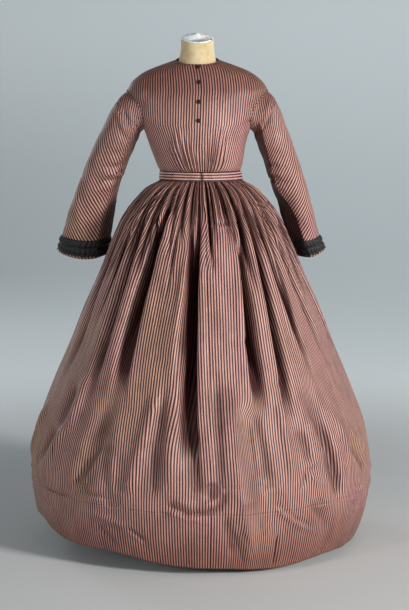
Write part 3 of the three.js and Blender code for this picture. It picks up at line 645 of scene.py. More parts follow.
# Radius and height of each ring of the dome, as shares of the whole.
DOME = (
    (0.8, 0), (0.98, 0.12), (1, 0.3), (0.95, 0.52),
    (0.82, 0.74), (0.62, 0.9), (0.36, 0.98), (0.1, 1),
)
velvet, dye = new_finish("button_velvet")
place = dye.place()
pile = dye.noise(place, 1400.0, 2.0)
rubbed = dye.noise(place, 260.0, 2.0).step(0.5, 0.7)
dye.connect(
    Base_Color=dye.mix(rubbed * 0.6, paint(40, 14, 17), paint(74, 34, 36)),
    Roughness=0.7 + pile * 0.2,
    Normal=dye.relief(pile, 0.0004, 0.8),
    Specular_IOR_Level=0.25,
    Sheen_Weight=0.08,
)
for number, level in enumerate(BUTTON_LEVELS, start=1):
    near = bodice_surface(
        BUTTON_ANGLE + np.array([[-0.5, 0, 0.5]] * 3), level + np.array([[-1.0], [0], [1]])
    )
    out = normals(near)[1, 1]
    side_way = np.cross((0, 0, 1), out)
    side_way /= np.linalg.norm(side_way)
    up_way = np.cross(out, side_way)
    turn = np.linspace(0, 2 * np.pi, 28, endpoint=False)
    circle = np.cos(turn)[:, None] * side_way + np.sin(turn)[:, None] * up_way
    pucker = BUTTON_RADIUS * (1 + 0.015 * np.sin(turn * 9 + level))
    rings = []
    for reach, rise in DOME:
        middle = near[1, 1] + out * (BUTTON_STAND_OFF + rise * BUTTON_HEIGHT)
        rings.append(middle + circle * (reach * pucker)[:, None])
    button = surface(f"covered_button_{number}", np.array(rings), ring=True, ends=True)
    fit(button, velvet, "button_velvet", f"button_{number}")

# ---- Waistband
# A straight strip of the same silk laid so that its stripes run round the waist, stiffened inside,
# with both edges turned in. It meets at the centre front, where a small hook holds it shut.
BAND_LOW, BAND_HIGH = 924, 947
# Level, half width, depth of the front and of the back, and the middle's offset towards +X.
BAND = ((BAND_LOW, 106, 83, 80, 0), (BAND_HIGH, 103, 80, 78, -2))
BAND_CLOTH = 2.4
BAND_OPENING = 2.0
band_silk = silk("waistband_silk", lean=90.0, seed=7.0)
angle = BAND_OPENING + np.linspace(0.25, 359.75, 260)[None, :]
height = np.linspace(BAND_LOW, BAND_HIGH, 16)[:, None]
up = (height - BAND_LOW) / (BAND_HIGH - BAND_LOW)
points = oval(angle, height, *curve_through(BAND, height))
rolled = -0.9 * np.abs(2 * up - 1) ** 7
rolled = rolled - 2.2 * ramp(356.4, 361.7, angle) - 0.8 * ramp(4.2, 2.2, angle)
free = 0.5 * np.sin(np.pi * up)
tacked = free * np.sin(np.radians(angle * 7 + 20)) * np.sin(np.radians(angle * 19 + 80))
points += normals(points) * (rolled + tacked)[..., None]
points[..., 2] += free * np.sin(np.radians(angle * 3 + 200))
weave = together(running_length(points, 1) / 1000, (height - BAND_LOW) / 1000)
# Painted shadow where the band's ends lap at the centre front.
lap_painted_shadow = ramp(357.2, 361.0, angle) * (0.8 + 0.1 * np.sin(height * 0.4))
band = lined_silk(
    "silk_waistband", points, weave, band_silk, "waistband", BAND_CLOTH, hollow=lap_painted_shadow
)

hook_wire, dye = new_finish("hook_wire")
place = dye.place()
tarnish = dye.noise(place, 700.0, 3.0).step(0.4, 0.7)
dye.connect(
    Base_Color=dye.mix(tarnish, paint(70, 62, 56), paint(30, 25, 22)),
    Metallic=0.8 - tarnish * 0.4,
    Roughness=0.4 + tarnish * 0.3,
)
turn = np.linspace(-0.5 * np.pi, 0.5 * np.pi, 16)
hook_y, hook_z, hook_bend = -83.6, 935, 2.2
loop = together(4.6 + hook_bend * np.cos(turn), hook_y, hook_z + hook_bend * np.sin(turn))
shank = together((1.2, 3.0), hook_y, hook_z - hook_bend)
shank_back = together((3.0, 1.2), hook_y, hook_z + hook_bend)
hook = cord_along("waistband_hook", np.concatenate([shank, loop, shank_back]), 0.5, sides=6)
fit(hook, hook_wire, "stand_iron")

# ---- Sleeves
# Each sleeve is cut in two pieces, an upper and an under one, from silk on the bias. It is set
# into a dropped armhole with a corded seam, bends at the elbow, and widens a little to an open
# wrist.

# Each row is a ring down the arm: its outer edge's and its inner edge's x and z, its middle's y and
# half its depth from front to back, in mm.
LEFT_SLEEVE = (
    (1, 207, 1126, 151, 1043, 2, 47), (2, 228, 1096, 157, 1027, 3, 50),
    (3, 252, 1047, 167, 1003, 6, 51), (4, 276, 999, 181, 972, 12, 50),
    (5, 296, 951, 197, 932, 22, 49), (6, 314, 905, 210, 895, 36, 48),
    (7, 332, 861, 217, 857, 52, 48), (8, 348, 815, 224, 810, 68, 49),
    (9, 360, 772, 233, 768, 82, 50), (10, 370, 733, 244, 724, 95, 51),
)
RIGHT_SLEEVE = (
    (1, 186, 1126, 131, 1043, 2, 47), (2, 201, 1096, 136, 1026, 3, 50),
    (3, 220, 1046, 145, 1000, 7, 51), (4, 238, 999, 157, 970, 16, 50),
    (5, 255, 950, 171, 929, 30, 49), (6, 270, 905, 185, 889, 46, 48),
    (7, 284, 858, 199, 851, 66, 48), (8, 297, 812, 211, 806, 86, 49),
    (9, 308, 770, 221, 765, 104, 50), (10, 322, 735, 231, 723, 120, 50),
)
WRIST_DIP = 12
# Creases of a worn sleeve: place round the arm in degrees (0 outside, 90 front, 180 inside) and
# ring of both ends, height (less than 0 for a hollow) and half width in mm.
LEFT_CREASES = (
    (40, 0.4, 120, 1.2, 3.0, 7), (50, 0.9, 130, 1.9, -3.2, 7), (30, 1.4, 110, 2.4, 2.6, 8),
    (60, 2.2, 140, 2.9, -2.6, 7), (120, 3.6, 60, 4.2, -2.4, 8), (150, 4.3, 85, 4.7, -4.2, 7),
    (150, 4.7, 80, 5.2, 3.4, 8), (150, 5.2, 95, 5.5, -4.4, 6), (140, 5.6, 70, 6.2, 2.6, 9),
    (20, 5.0, 60, 6.4, -1.8, 10), (30, 6.4, 70, 8.2, 2.4, 10), (110, 6.6, 80, 8.4, -2.2, 9),
    (140, 6.9, 120, 8.6, 2.0, 8), (210, 4.6, 280, 5.1, 3.0, 9), (220, 5.2, 290, 5.7, -3.2, 8),
    (240, 1.0, 310, 2.0, -2.6, 9), (230, 2.2, 300, 3.2, 2.2, 9),
)
RIGHT_CREASES = (
    (35, 0.5, 110, 1.3, 2.6, 7), (50, 1.2, 140, 2.0, -3.0, 7), (40, 2.0, 100, 3.4, 1.8, 10),
    (150, 4.2, 100, 4.6, -3.6, 7), (150, 4.7, 90, 5.1, 3.0, 8), (145, 5.2, 95, 5.6, -3.8, 7),
    (60, 5.2, 90, 7.2, 1.8, 11), (120, 6.2, 100, 8.2, -2.4, 9), (70, 7.6, 50, 9.0, 1.8, 10),
    (210, 4.4, 280, 5.0, 3.0, 9), (220, 5.3, 285, 5.8, -3.0, 8), (240, 1.2, 310, 2.2, -2.4, 9),
    (225, 6.6, 260, 8.2, 2.0, 10),
)

ARM_DEGREE, RING_STEP = 0.85, 46  # mm round the arm for each degree, and down it for each ring

# The empty sleeve falls flat between a ridge down its front and its inner edge. Ring, the ridge's
# place round the arm in degrees, and how flat it is there, from 0 to 1.
RIGHT_RIDGE = (
    (0, 112, 0), (1, 114, 0.2), (3, 120, 0.7),
    (5, 134, 0.7), (5.8, 136, 0.7), (6.5, 120, 0.85),
    (7.2, 106, 0.9), (8.2, 90, 0.9), (10, 78, 0.6),
)
LEFT_RIDGE = (
    (0, 120, 0), (1, 120, 0.2), (3, 122, 0.6),
    (6, 126, 0.5), (8, 116, 0.7), (10, 120, 0.4),
)
RIDGES = {-1: LEFT_RIDGE, 1: RIGHT_RIDGE}
INNER_EDGE = 196
# Painted shade on the sleeve's inner side, past the ridge, and on the upper arm: over how many
# degrees past the ridge the cloth turns dark, how dark it is there, and how dark the upper arm is.
SLEEVE_PAINTED_SHADE = {-1: (30, 0.6, 0.24), 1: (9, 0.9, 0.05)}
sleeve_seed = np.random.default_rng(1858)


def crumples(seed, count, across, along, lean, length, height, width):
    """Rows of small creases strewn over a piece: places even between the ends of across and along,
    directions even within lean from level, and sizes even between the ends given, in mm."""
    middle = together(seed.uniform(*across, count), seed.uniform(*along, count))
    turn = np.radians(seed.uniform(-lean, lean, count))
    half = seed.uniform(*length, count)[:, None] / 2 * together(np.cos(turn), np.sin(turn))
    size = seed.uniform(*height, count) * seed.choice([-1, 1], count)
    wide = seed.uniform(*width, count)
    return np.column_stack([middle - half, middle + half, size, wide]).tolist()


def armhole_edge(side, around):
    """The bodice's edge round the arm, 0 at the shoulder tip and 90 at the front: its level is
    middle + reach*cos(around), and its angle is the side seam's less half*sin(around)."""
    turn = np.radians(around)
    level = ARMHOLE_LEVEL + ARMHOLE_HALF_LEVEL * np.cos(turn)
    angle = side * (SIDE_SEAM - ARMHOLE_HALF_ANGLE * np.sin(turn))
    return figure_ring(angle, level, *curve_through(FIGURE, level))


def round_sleeve(side, table, around, rings):
    """Each ring is an ellipse between its outer and inner edge; its front half hangs lower by
    dip*sin(around)**2 near the wrist. Down the arm, every column follows a smooth curve through the
    rings, from the armhole's edge as ring 0."""
    turn = np.radians(around)
    cos, sin = np.cos(turn), np.sin(turn)
    columns = [armhole_edge(side, around)]
    for ring, out_x, out_z, in_x, in_z, y, deep in table:
        dip = WRIST_DIP * ramp(7, 10, ring) * np.maximum(sin, 0) * sin
        x = side * ((out_x + in_x) / 2 + (out_x - in_x) / 2 * cos)
        z = (out_z + in_z) / 2 + (out_z - in_z) / 2 * cos - dip
        columns.append(together(x, y - deep * sin, z))
    known = np.array(columns).reshape(len(columns), -1)
    rows = np.concatenate([np.arange(len(columns))[:, None], known], axis=1)
    return np.moveaxis(curve_through(rows, rings), 0, -1).reshape(len(rings), len(around), 3)


def sleeve_surface(side, table, creases, around, rings):
    """The round sleeve, moved by the ridge's flatness onto the straight line from the ridge to the
    inner edge. Creases stand out along the surface's normal."""
    points = round_sleeve(side, table, around, rings)
    turn, down = np.radians(around), rings[:, None]
    ridge, flatness = curve_through(RIDGES[side], rings)
    first, step = 60, 2
    dense = round_sleeve(side, table, np.arange(first, 202.0, step), rings)
    number, rest = np.divmod((ridge - first) / step, 1)
    row, k, rest = np.arange(len(rings)), number.astype(int), rest[:, None]
    from_ridge = (dense[row, k] * (1 - rest) + dense[row, k + 1] * rest)[:, None]
    place = (around % 360)[None, :]
    t = (place - ridge[:, None]) / (INNER_EDGE - ridge)[:, None]
    to_edge = dense[:, [(INNER_EDGE - first) // step]] - from_ridge
    share = np.where((t > 0) & (t < 1), flatness[:, None], 0) * ramp(0, 0.12, t) * ramp(1, 0.88, t)
    points = points + (from_ridge + to_edge * t[..., None] - points) * share[..., None]
    out = creased(place, down, creases, (ARM_DEGREE, RING_STEP))
    out = out + creased(place * ARM_DEGREE, down * RING_STEP, SLEEVE_CRUMPLES[side])
    drift = np.sin(turn * 3 + down * 1.7) * np.sin(down * 2.9 + turn)
    out += 0.9 * drift * ramp(0.2, 1.0, down)
    return points + side * normals(points) * out[..., None]


# Puckers at the sleeve's head, small crumples at the elbow, and a few all over.
SLEEVE_CRUMPLES = {
    side: crumples(sleeve_seed, 46, (10, 150), (6, 74), 50, (9, 26), (0.8, 2.0), (2.2, 4.0))
    + crumples(sleeve_seed, 22, (60, 160), (205, 262), 25, (16, 40), (0.8, 2.2), (2.6, 5.0))
    + crumples(sleeve_seed, 40, (0, 290), (70, 440), 60, (18, 60), (0.5, 1.4), (4.0, 8.0))
    for side in (-1, 1)
}
STRIPE_LEAN = 41.0
sleeves = (
    ("left", -1, LEFT_SLEEVE, LEFT_CREASES, silk("left_sleeve_bias_silk", STRIPE_LEAN, 11.0)),
    ("right", 1, RIGHT_SLEEVE, RIGHT_CREASES, silk("right_sleeve_bias_silk", STRIPE_LEAN, 14.0)),
)
UNDER_HALF = 180 * 4 / 14  # the under piece is four fourteenths of the way round
HALF_GAP = 0.2  # in degrees
UNDER_START = 0.11  # where the under piece's cloth starts, in metres
for name, side, table, creases, finish in sleeves:
    rings = np.concatenate([[0.008], np.linspace(0, 10, 134)[1:]])
    for part_name, start, end, columns in (
        ("upper", UNDER_HALF - 180, 180 - UNDER_HALF, 110),
        ("under", 180 - UNDER_HALF, 180 + UNDER_HALF, 48),
    ):
        around = np.linspace(start + HALF_GAP, end - HALF_GAP, columns)
        points = sleeve_surface(side, table, creases, around, rings)
        round_arm = running_length(points, 1) / 1000
        if part_name == "upper":
            round_arm = round_arm - round_arm[:, [np.argmin(np.abs(around))]]
        else:
            round_arm = round_arm + UNDER_START
        down_arm = running_length(points, 0).mean(axis=1, keepdims=True) / 1000
        weave = together(round_arm, down_arm)
        down = rings[:, None]
        ridge = curve_through(RIDGES[side], down)[0]
        turn = (around % 360)[None, :]
        shade_reach, shade, upper_arm_shade = SLEEVE_PAINTED_SHADE[side]
        # Painted shade on the sleeve's inner side past the ridge, and on the upper arm.
        sleeve_painted_shade = ramp(ridge - 2, ridge + shade_reach, turn) * ramp(320, 240, turn)
        sleeve_painted_shade = sleeve_painted_shade * shade * ramp(0.3, 1.6, down)
        sleeve_painted_shade = np.maximum(sleeve_painted_shade, upper_arm_shade * ramp(6, 3, down))
        details = {"turned": side < 0, "hollow": sleeve_painted_shade}
        node = f"sleeve_{name}_{part_name}"
        piece = lined_silk(f"silk_{node}", points, weave, finish, node, **details)
    around = np.linspace(0, 360, 120, endpoint=False)
    seam = armhole_edge(side, around)
    centre = seam.mean(axis=0)
    spread = (seam - centre) / np.linalg.norm(seam - centre, axis=1, keepdims=True)
    path = seam + (side * 0.9, 0, 0) + spread * 0.3
    cord = cord_along(f"armhole_piping_{name}", path, 1.5, closed=True)
    fit(cord, piping_silk, "striped_silk")

# ---- Wrist trims
# A band of black silk ribbon, ruched between three rows of gathering thread and sewn on round each
# sleeve a little above its edge, so that the ribbon puffs out between the rows and frills at its
# lower edge.
TRIM_STAND_OFF = 1.4
# Ring on the sleeve, how far the ribbon puffs out, and how deep its ruffles are, in mm.
TRIM_ROWS = (
    (8.9, 0, 0.5), (9.02, 1.8, 1.8), (9.2, 2.4, 2.4),
    (9.36, 0.5, 0.8), (9.5, 2.2, 2.2), (9.64, 2.4, 2.6),
    (9.72, 0.8, 1.2), (9.78, 1.6, 2.8), (9.82, 2.2, 3.8),
)
ribbon, dye = new_finish("ruched_black_ribbon")
cloth = dye.cloth()
place = dye.place()
gloss = dye.noise(dye.stretched(cloth, (700, 60, 1)), 1.0, 2.0)
# Painted glints: small pale spots in the black ribbon's colour.
painted_glint = dye.noise(place, 420.0, 2.0, 0.6).step(0.66, 0.74)
nap = dye.noise(place, 900.0, 2.0)
dye.connect(
    Base_Color=dye.mix(painted_glint * 0.5, paint(13, 9, 10), paint(84, 74, 72)),
    Roughness=0.42 + gloss * 0.3,
    Normal=dye.relief(nap + gloss, 0.0008, 0.7),
)
for name, side, table, creases, finish in sleeves:
    around = np.linspace(0, 360, 350, endpoint=False)
    rings = np.linspace(TRIM_ROWS[0][0], TRIM_ROWS[-1][0], 26)
    base = sleeve_surface(side, table, creases, around, rings)
    puff, wave = curve_through(TRIM_ROWS, rings)
    seed = np.random.default_rng(5 if side > 0 else 8)
    phase = np.radians(around) * 34 + 1.3 * np.sin(np.radians(around) * 5 + seed.uniform(0, 6))
    ripple = 0.5 - 0.5 * np.cos(phase + 0.9 * np.sin(rings[:, None] * 9))
    uneven = 0.75 + 0.25 * np.sin(np.radians(around) * 9 + seed.uniform(0, 6))
    out = TRIM_STAND_OFF + puff[:, None] + wave[:, None] * ripple * uneven
    points = base + side * normals(base, ring=True) * out[..., None]
    points[..., 2] -= 1.5 * ripple * uneven * ramp(9.7, 9.82, rings)[:, None]
    closed = np.concatenate([points, points[:, :1]], axis=1)
    down = running_length(points, 0).mean(axis=1, keepdims=True) / 1000
    weave = together(running_length(closed, 1) / 1000, down)
    trim = surface(f"ruched_ribbon_{name}", points, ring=True, weave=weave, turned=side < 0)
    fit(trim, ribbon, "black_ribbon", f"wrist_trim_{name}")
    wall = trim.modifiers.new("ribbon_thickness", "SOLIDIFY")
    wall.thickness, wall.offset = 0.0008, -1

# ---- Skirt
# Six widths of silk, each 470 to 600 mm wide, sewn edge to edge and drawn up into tight gathers
# under the waistband. The gathers open into deep hanging folds that run out above the hem, and the
# cloth is turned up inside into a deep hem, whose stitches show as a fine broken line.

# Height, half width, and depth of the front and of the back at the folds' crests, in mm.
SKIRT_OUTLINE = (
    (924, 104, 81, 79), (915, 122, 98, 98), (905, 140, 115, 120), (893, 154, 131, 140),
    (875, 171, 150, 163), (832, 202, 184, 203), (771, 229, 215, 238), (709, 253, 241, 266),
    (617, 292, 279, 306), (534, 326, 311, 341), (410, 379, 358, 393), (284, 424, 398, 437),
    (200, 437, 408, 449), (115, 429, 400, 442), (60, 416, 390, 431), (8, 396, 375, 415),
)
HEM_Z, WAIST_Z = 8, 924
# How far the hem hangs above HEM_Z at each angle, in mm: it dips at the front and climbs at the
# left.
HEM_LIFT = (
    (-180, 26), (-120, 46), (-90, 66), (-73, 72), (-56, 46),
    (-29, 34), (-9, 16), (18, 0), (43, 7), (66, 10),
    (84, 16), (120, 26), (180, 26),
)
DEEP_HEM = 0.15  # in metres
# How the threads sway to and fro round the skirt: number of waves, their reach and their start, in
# degrees.
SWAYS = ((5, 1.2, 60), (9, 0.8, 10), (13, 0.4, 200))
GATHERS = 60
TUCK_DEPTH = 8
# Height and how deep the gathers are there, in mm.
GATHER_DEPTH = (
    (924, 6), (914, 14), (895, 20), (860, 19), (810, 14),
    (760, 10), (700, 6), (620, 2.5), (540, 0),
)
# Each hanging fold is a hollow: its head and foot; the angle of its bed at the head, halfway and at
# the foot; the reach of its left and right side in degrees; its depth; how far its bed lies under
# the ridge beside it; and how far its lips stand out.
FOLDS = (
    (900, 395, -24, -33, -31, 5.2, 4.2, 72, 3, 4),
    (850, 440, -4.8, -8.2, -9.8, 1.7, 1.5, 28, 0, 3),
    (850, 225, -0.9, -3.6, -2.6, 4.6, 2.6, 78, 12, 5),
    (885, 690, 5.5, 6.4, 7, 1.2, 1.2, 14, 0, 2),
    (800, 370, 26, 23.2, 21.5, 3.0, 3.5, 78, -8, 5),
    (905, 330, 35, 35.8, 31.5, 2.5, 2.8, 66, -6, 4),
    (890, 640, 32, 29.5, 31, 1.2, 1.2, 18, 0, 2),
    (900, 430, 42.5, 46.5, 50.5, 1.8, 2.0, 36, -4, 3),
    (880, 470, 52, 60, 64.5, 2.0, 2.2, 34, -4, 3),
    (870, 450, 71, 80, 86, 2.6, 2.8, 28, 0, 3),
    (870, 370, -43, -47, -46, 3.4, 3.0, 34, 5, 4),
    (850, 560, -53, -56, -58, 2.0, 2.0, 16, 0, 2),
    (870, 410, -69, -70, -67, 3.6, 3.4, 28, 4, 3),
    (870, 620, -14, -17, -18, 1.2, 1.2, 9, 0, 1),
    (480, 130, -13, -15, -18, 3.6, 3.6, 12, 0, 2),
    (460, 120, -34, -38, -43, 4.4, 4.4, 12, 0, 2),
    (430, 90, 13, 15, 17, 4.0, 4.6, 7, 0, 1),
    (470, 130, 44, 46, 50, 4.0, 4.0, 13, 0, 2),
    (860, 330, 92, 94, 93, 4.4, 4.0, 30, 0, 3),
    (890, 300, 109, 112, 111, 4.2, 3.8, 40, 5, 4),
    (860, 560, 124, 126, 127, 2.0, 2.0, 16, 0, 2),
    (870, 360, 142, 144, 145, 4.2, 3.8, 38, 5, 4),
    (890, 260, 161, 162, 160, 4.4, 4.0, 50, 6, 4),
    (850, 540, 179, 180, 180, 2.2, 2.2, 16, 0, 2),
    (890, 290, 199, 200, 201, 4.0, 4.4, 50, -6, 4),
    (860, 380, 216, 218, 217, 3.8, 4.0, 36, -4, 3),
    (860, 560, 234, 235, 236, 2.2, 2.2, 16, 0, 2),
    (880, 300, 254, 255, 256, 3.8, 4.2, 42, -5, 4),
    (430, 110, 132, 131, 130, 5.0, 5.0, 16, 0, 2),
    (450, 120, 175, 174, 172, 5.0, 5.0, 15, 0, 2),
    (440, 120, 231, 232, 234, 5.0, 5.0, 16, 0, 2),
)
# Stretches between two folds where the gathers run out early: middle and half width in degrees,
# and the height below which the cloth hangs smooth.
PANELS = (
    (-17, 9, 885), (13, 10, 850), (30.5, 3, 740), (43, 4, 690),
    (-39, 4, 760), (-57, 8, 730), (61, 7, 690), (82, 8, 760),
    (-98, 10, 800), (130, 9, 830), (180, 10, 840), (233, 9, 810),
)
# Drag lines and crumples: angle and height of both ends, height (less than 0 for a hollow) and half
# width, in mm.
SKIRT_CREASES = (
    (-49.5, 470, -53, 330, 9, 17), (-53, 345, -64, 215, 9.3, 15), (-56, 440, -60, 320, -9, 20),
    (-60, 330, -70, 230, -8, 18), (-16.5, 440, -20.2, 298, 9, 13), (-20.2, 320, -24, 190, 8.1, 13),
    (-33, 330, -29.5, 200, -6, 26), (-46, 186, -36, 308, -5, 8), (-43, 186, -34, 300, 4, 9),
    (-46, 190, -30, 176, -4.3, 7), (-30, 300, -29, 190, 6, 10), (-11.6, 468, -9.4, 190, 8, 13),
    (-15, 330, -15.5, 190, -7, 12), (-4, 380, -1.2, 196, -12, 16), (-11, 178, -2.8, 148, -8, 9),
    (-5, 150, 6.5, 168, -8, 9), (5, 160, 8.6, 214, -7, 9), (-9, 196, -1, 170, 5.6, 9),
    (-2, 170, 4, 190, 5.6, 9), (3, 240, 4, 186, -8, 14), (-12, 166, 2, 134, 5.6, 9),
    (6, 480, 6.2, 190, -10, 11), (12.5, 470, 12.2, 190, 9, 16), (12.4, 230, 17, 24, 10, 17),
    (7.5, 160, 11, 40, -6, 12), (19, 420, 22.4, 205, -7.4, 12), (16.6, 378, 17.4, 260, -3.7, 6),
    (15, 186, 22.4, 222, -3.1, 5), (14, 178, 21, 208, 3.7, 6), (23.6, 180, 30, 140, -3.7, 6),
    (29, 146, 38.5, 100, -3.7, 6), (24, 166, 37, 92, 5, 8), (25.6, 100, 26, 6, -6, 3.5),
    (27.6, 100, 28, 10, 2.5, 5), (29, 430, 30.5, 210, 9, 13), (36, 350, 38, 262, -7.4, 12),
    (34, 204, 36, 250, -3.7, 6), (35.6, 246, 41.5, 250, -3.7, 6), (41, 252, 44.8, 216, -3.7, 6),
    (32.6, 208, 34.4, 252, 3, 7), (36, 258, 42, 260, 3, 7), (37.5, 236, 41, 200, 4, 9),
    (41, 380, 45.5, 250, 7, 13), (46, 360, 51.5, 150, -12, 14), (37, 172, 48, 78, -6, 15),
    (54, 380, 60, 250, 7, 13), (59, 330, 76, 220, 8.1, 13), (57, 300, 72, 196, -7.4, 12),
    (62, 200, 74, 100, 6, 12), (9.8, 118, 15, 12, -2.5, 4), (13, 112, 18.6, 30, -2.5, 4),
    (-66, 150, -44, 164, -5, 8), (-66, 120, -52, 90, 5, 12), (-40, 120, -24, 96, 5, 12),
    (-24, 96, -18, 60, -5, 8), (-36, 90, -28, 20, -4, 7), (5, 830, 24, 826, -2.5, 4),
    (6, 822, 23, 818, 2.5, 4), (1, 756, 6, 762, -2.5, 4), (-24, 700, -12, 712, 1.5, 8),
    (10, 560, 22, 548, -2.5, 12), (-22, 520, -10, 508, -2.5, 12), (26, 460, 34, 450, -2.5, 8),
    (-74, 380, -86, 210, 9.9, 16), (-80, 190, -92, 120, -7, 13), (84, 200, 100, 140, 5, 13),
    (90, 330, 104, 230, -4, 14), (112, 170, 130, 120, -4, 12), (118, 280, 138, 200, 5, 14),
    (148, 190, 170, 140, 5, 12), (152, 150, 166, 100, -4, 11), (186, 160, 206, 200, 5, 12),
    (190, 130, 200, 90, -4, 11), (212, 260, 232, 190, 5, 14), (220, 150, 240, 110, -4, 12),
    (246, 330, 262, 230, -4, 14), (250, 190, 270, 140, 5, 12),
)
seed = np.random.default_rng(1860)
gather_at = 360 / GATHERS * (np.arange(GATHERS) + 0.5) + seed.uniform(-1.6, 1.6, GATHERS)
gather_drift = seed.uniform(-2.2, 2.2, GATHERS)
gather_foot = seed.uniform(560, 800, GATHERS)
gather_reach = seed.uniform(0.9, 1.6, GATHERS)
gather_size = seed.uniform(0.6, 1.25, GATHERS)
tuck_at = 360 / GATHERS * np.arange(GATHERS) + seed.uniform(-1.2, 1.2, GATHERS)
tuck_foot = seed.uniform(740, 870, GATHERS)


def fold_place(row, z):
    """How far down a fold a height is, from 0 to 1, and the angle of its bed there: the parabola
    through the angles at its head, halfway and at its foot."""
    head, foot, at_head, halfway, at_foot = row[:5]
    t = np.clip((head - z) / (head - foot), 0, 1)
    bed = at_head * (1 - t) * (1 - 2 * t) + halfway * 4 * t * (1 - t) + at_foot * t * (2 * t - 1)
    return t, bed


def skirt_surface(column, z):
    """The crest outline moved inwards by the sum of depth*bell over all hollows, where the bell is
    exp(-1.2*|d/reach|**p) of the angle d from the bed; p grows with a fold's depth and is 1.5 in a
    gather, which makes its bed sharp. A fold's lips are drawn together over its bed, and towards
    the floor the cloth is lifted to the hem's line. Gives the points, their angles, and how deep
    in a hollow each one is, from 0 to about 1.4."""
    column, z = np.broadcast_arrays(column, z)
    angle = column.astype(float)
    for count, sway, start in SWAYS:
        angle = angle + sway * np.sin(np.radians(column * count + start))
    lift = curve_through(HEM_LIFT, turned_by(angle, 0))[0]
    lift = (lift + 3 + 3 * np.sin(np.radians(column * 9))) * ramp(230, HEM_Z, z)
    inwards, sideways, slack, smooth = np.zeros((4, *angle.shape))
    level = z[:, :1]
    for row in FOLDS:
        t, bed = fold_place(row, level)
        left, right, deep, lean, lip = row[5:]
        away = turned_by(angle, bed)
        opened = 0.6 + 0.4 * ramp(0, 0.4, t) * ramp(1.15, 0.55, t)
        reach = np.where(away < 0, left, right) * opened
        strength = ramp(0, 0.32, t) * ramp(1, 0.42, t)
        bell = np.exp(-1.2 * np.abs(away / reach) ** (2.4 + deep / 35))
        slack += ramp(0, 0.32, t) * ramp(1, 0.7, t) * bell * (0.25 + deep / 60)
        bell = strength * bell
        rim = strength * np.exp(-(((np.abs(away) / reach - 1.75) / 0.55) ** 2))
        inwards += deep * bell - lip * rim
        pinch = np.exp(-(((np.abs(away) / reach - 1.25) / 0.4) ** 2))
        sideways += lean * bell - np.sign(away) * strength * deep * 0.09 * pinch
    for middle, half_wide, top in PANELS:
        away = np.abs(turned_by(angle, middle))
        smooth += ramp(half_wide + 2.5, half_wide - 2.5, away) * ramp(top + 30, top - 110, level)
    calm = 1 - 0.93 * np.minimum(smooth, 1)
    depth = curve_through(GATHER_DEPTH, level)[0]
    for k in range(GATHERS):
        bed = gather_at[k] + gather_drift[k] * (WAIST_Z - level) / 250
        reach = gather_reach[k] * (0.75 + 0.5 * ramp(WAIST_Z, 800, level))
        bell = np.exp(-1.2 * np.abs(turned_by(column, bed) / reach) ** 1.5)
        bell = bell * ramp(gather_foot[k] - 60, gather_foot[k] + 60, level) * calm
        inwards += depth * gather_size[k] * bell
        slack += bell * 1.1
        bell = np.exp(-(turned_by(column, tuck_at[k]) ** 2))
        bell = bell * ramp(tuck_foot[k] - 20, tuck_foot[k] + 40, level)
        inwards += TUCK_DEPTH * bell * ramp(WAIST_Z, 905, level)
        slack += bell * 0.6

    def wave(count, start, climb):
        return np.sin(np.radians(angle * count + start) + z * climb)

    inwards += 1.2 + 2.2 * wave(7, 0, 0.011) * wave(11, 50, -0.017) * ramp(900, 500, z)
    inwards += 1.1 * wave(23, 0, 0.008) * wave(17, 20, 0.021) * ramp(880, 700, z)
    points = oval(angle, z + lift, *curve_through(SKIRT_OUTLINE, z + lift))
    cos, sin = np.cos(np.radians(angle)), np.sin(np.radians(angle))
    points = points + together(-sin, cos, 0) * inwards[..., None]
    points = points + together(cos, sin, 0) * sideways[..., None]
    return points, angle, np.clip(slack, 0, 1.4) + 0.02 + 0.12 * ramp(820, 880, z)


skirt_silk = silk("skirt_striped_silk", seed=20.0, hem=DEEP_HEM)
skirt_levels = np.concatenate(
    [
        np.linspace(HEM_Z, 250, 66)[:-1],
        np.linspace(250, 780, 64)[:-1],
        np.linspace(780, 880, 28)[:-1],
        np.linspace(880, WAIST_Z - SEAM_GAP, 24),
    ]
)[:, None]
level_count = len(skirt_levels)
outline = curve_through(SKIRT_OUTLINE, skirt_levels[:, 0])
crest_path = together(outline[1], skirt_levels[:, 0])
up_skirt = running_length(crest_path[:, None], 0) / 1000

# The flat cloth. Between the middles of two neighbouring smooth stretches every level uses the same
# length of cloth, as much as the level WIDEST_Z measures, or more where another level's hollows
# need it. The threads are evenly spaced on the crests, and what a level has too much or too little
# of it takes up in its hollows, which keep at least the share TIGHTEST of their cloth.
WIDEST_Z, TIGHTEST = 220, 0.4
fine = np.linspace(-12, 398, 6800)[None, :]  # once round, and some more at both ends
points, angle, slack = skirt_surface(fine, skirt_levels)
long_folds = [row for row in FOLDS if row[0] > 780 and row[1] < 500]
long_folds.sort(key=lambda row: row[3] % 360)
beds = [fold_place(row, skirt_levels)[1] for row in long_folds]
beds = [bed + 360 if row[3] < 0 else bed for bed, row in zip(beds, long_folds)]
middles = [(low + high) / 2 for low, high in zip(beds, beds[1:] + [beds[0] + 360])]
middles = [middles[-2] - 360, middles[-1] - 360, *middles, middles[0] + 360]
middles = np.concatenate(middles, axis=1)
step = np.linalg.norm(np.diff(points, axis=1), axis=-1) / 1000
step = np.stack([step, step * (slack[:, 1:] + slack[:, :-1]) / 2])
run = np.concatenate([np.zeros((2, level_count, 1)), np.cumsum(step, axis=2)], axis=2)
far = np.arange(level_count)[:, None] * 1000.0  # keeps the levels apart in one long table
at_middles = np.array([np.interp(middles + far, (angle + far).ravel(), r.ravel()) for r in run])
cloth_used, hollow_used = np.diff(at_middles, axis=2)
widest = int(np.argmin(np.abs(skirt_levels[:, 0] - WIDEST_Z)))
least = cloth_used - (1 - TIGHTEST) * hollow_used
cloth_cut = np.maximum(cloth_used[widest], least.max(axis=0))
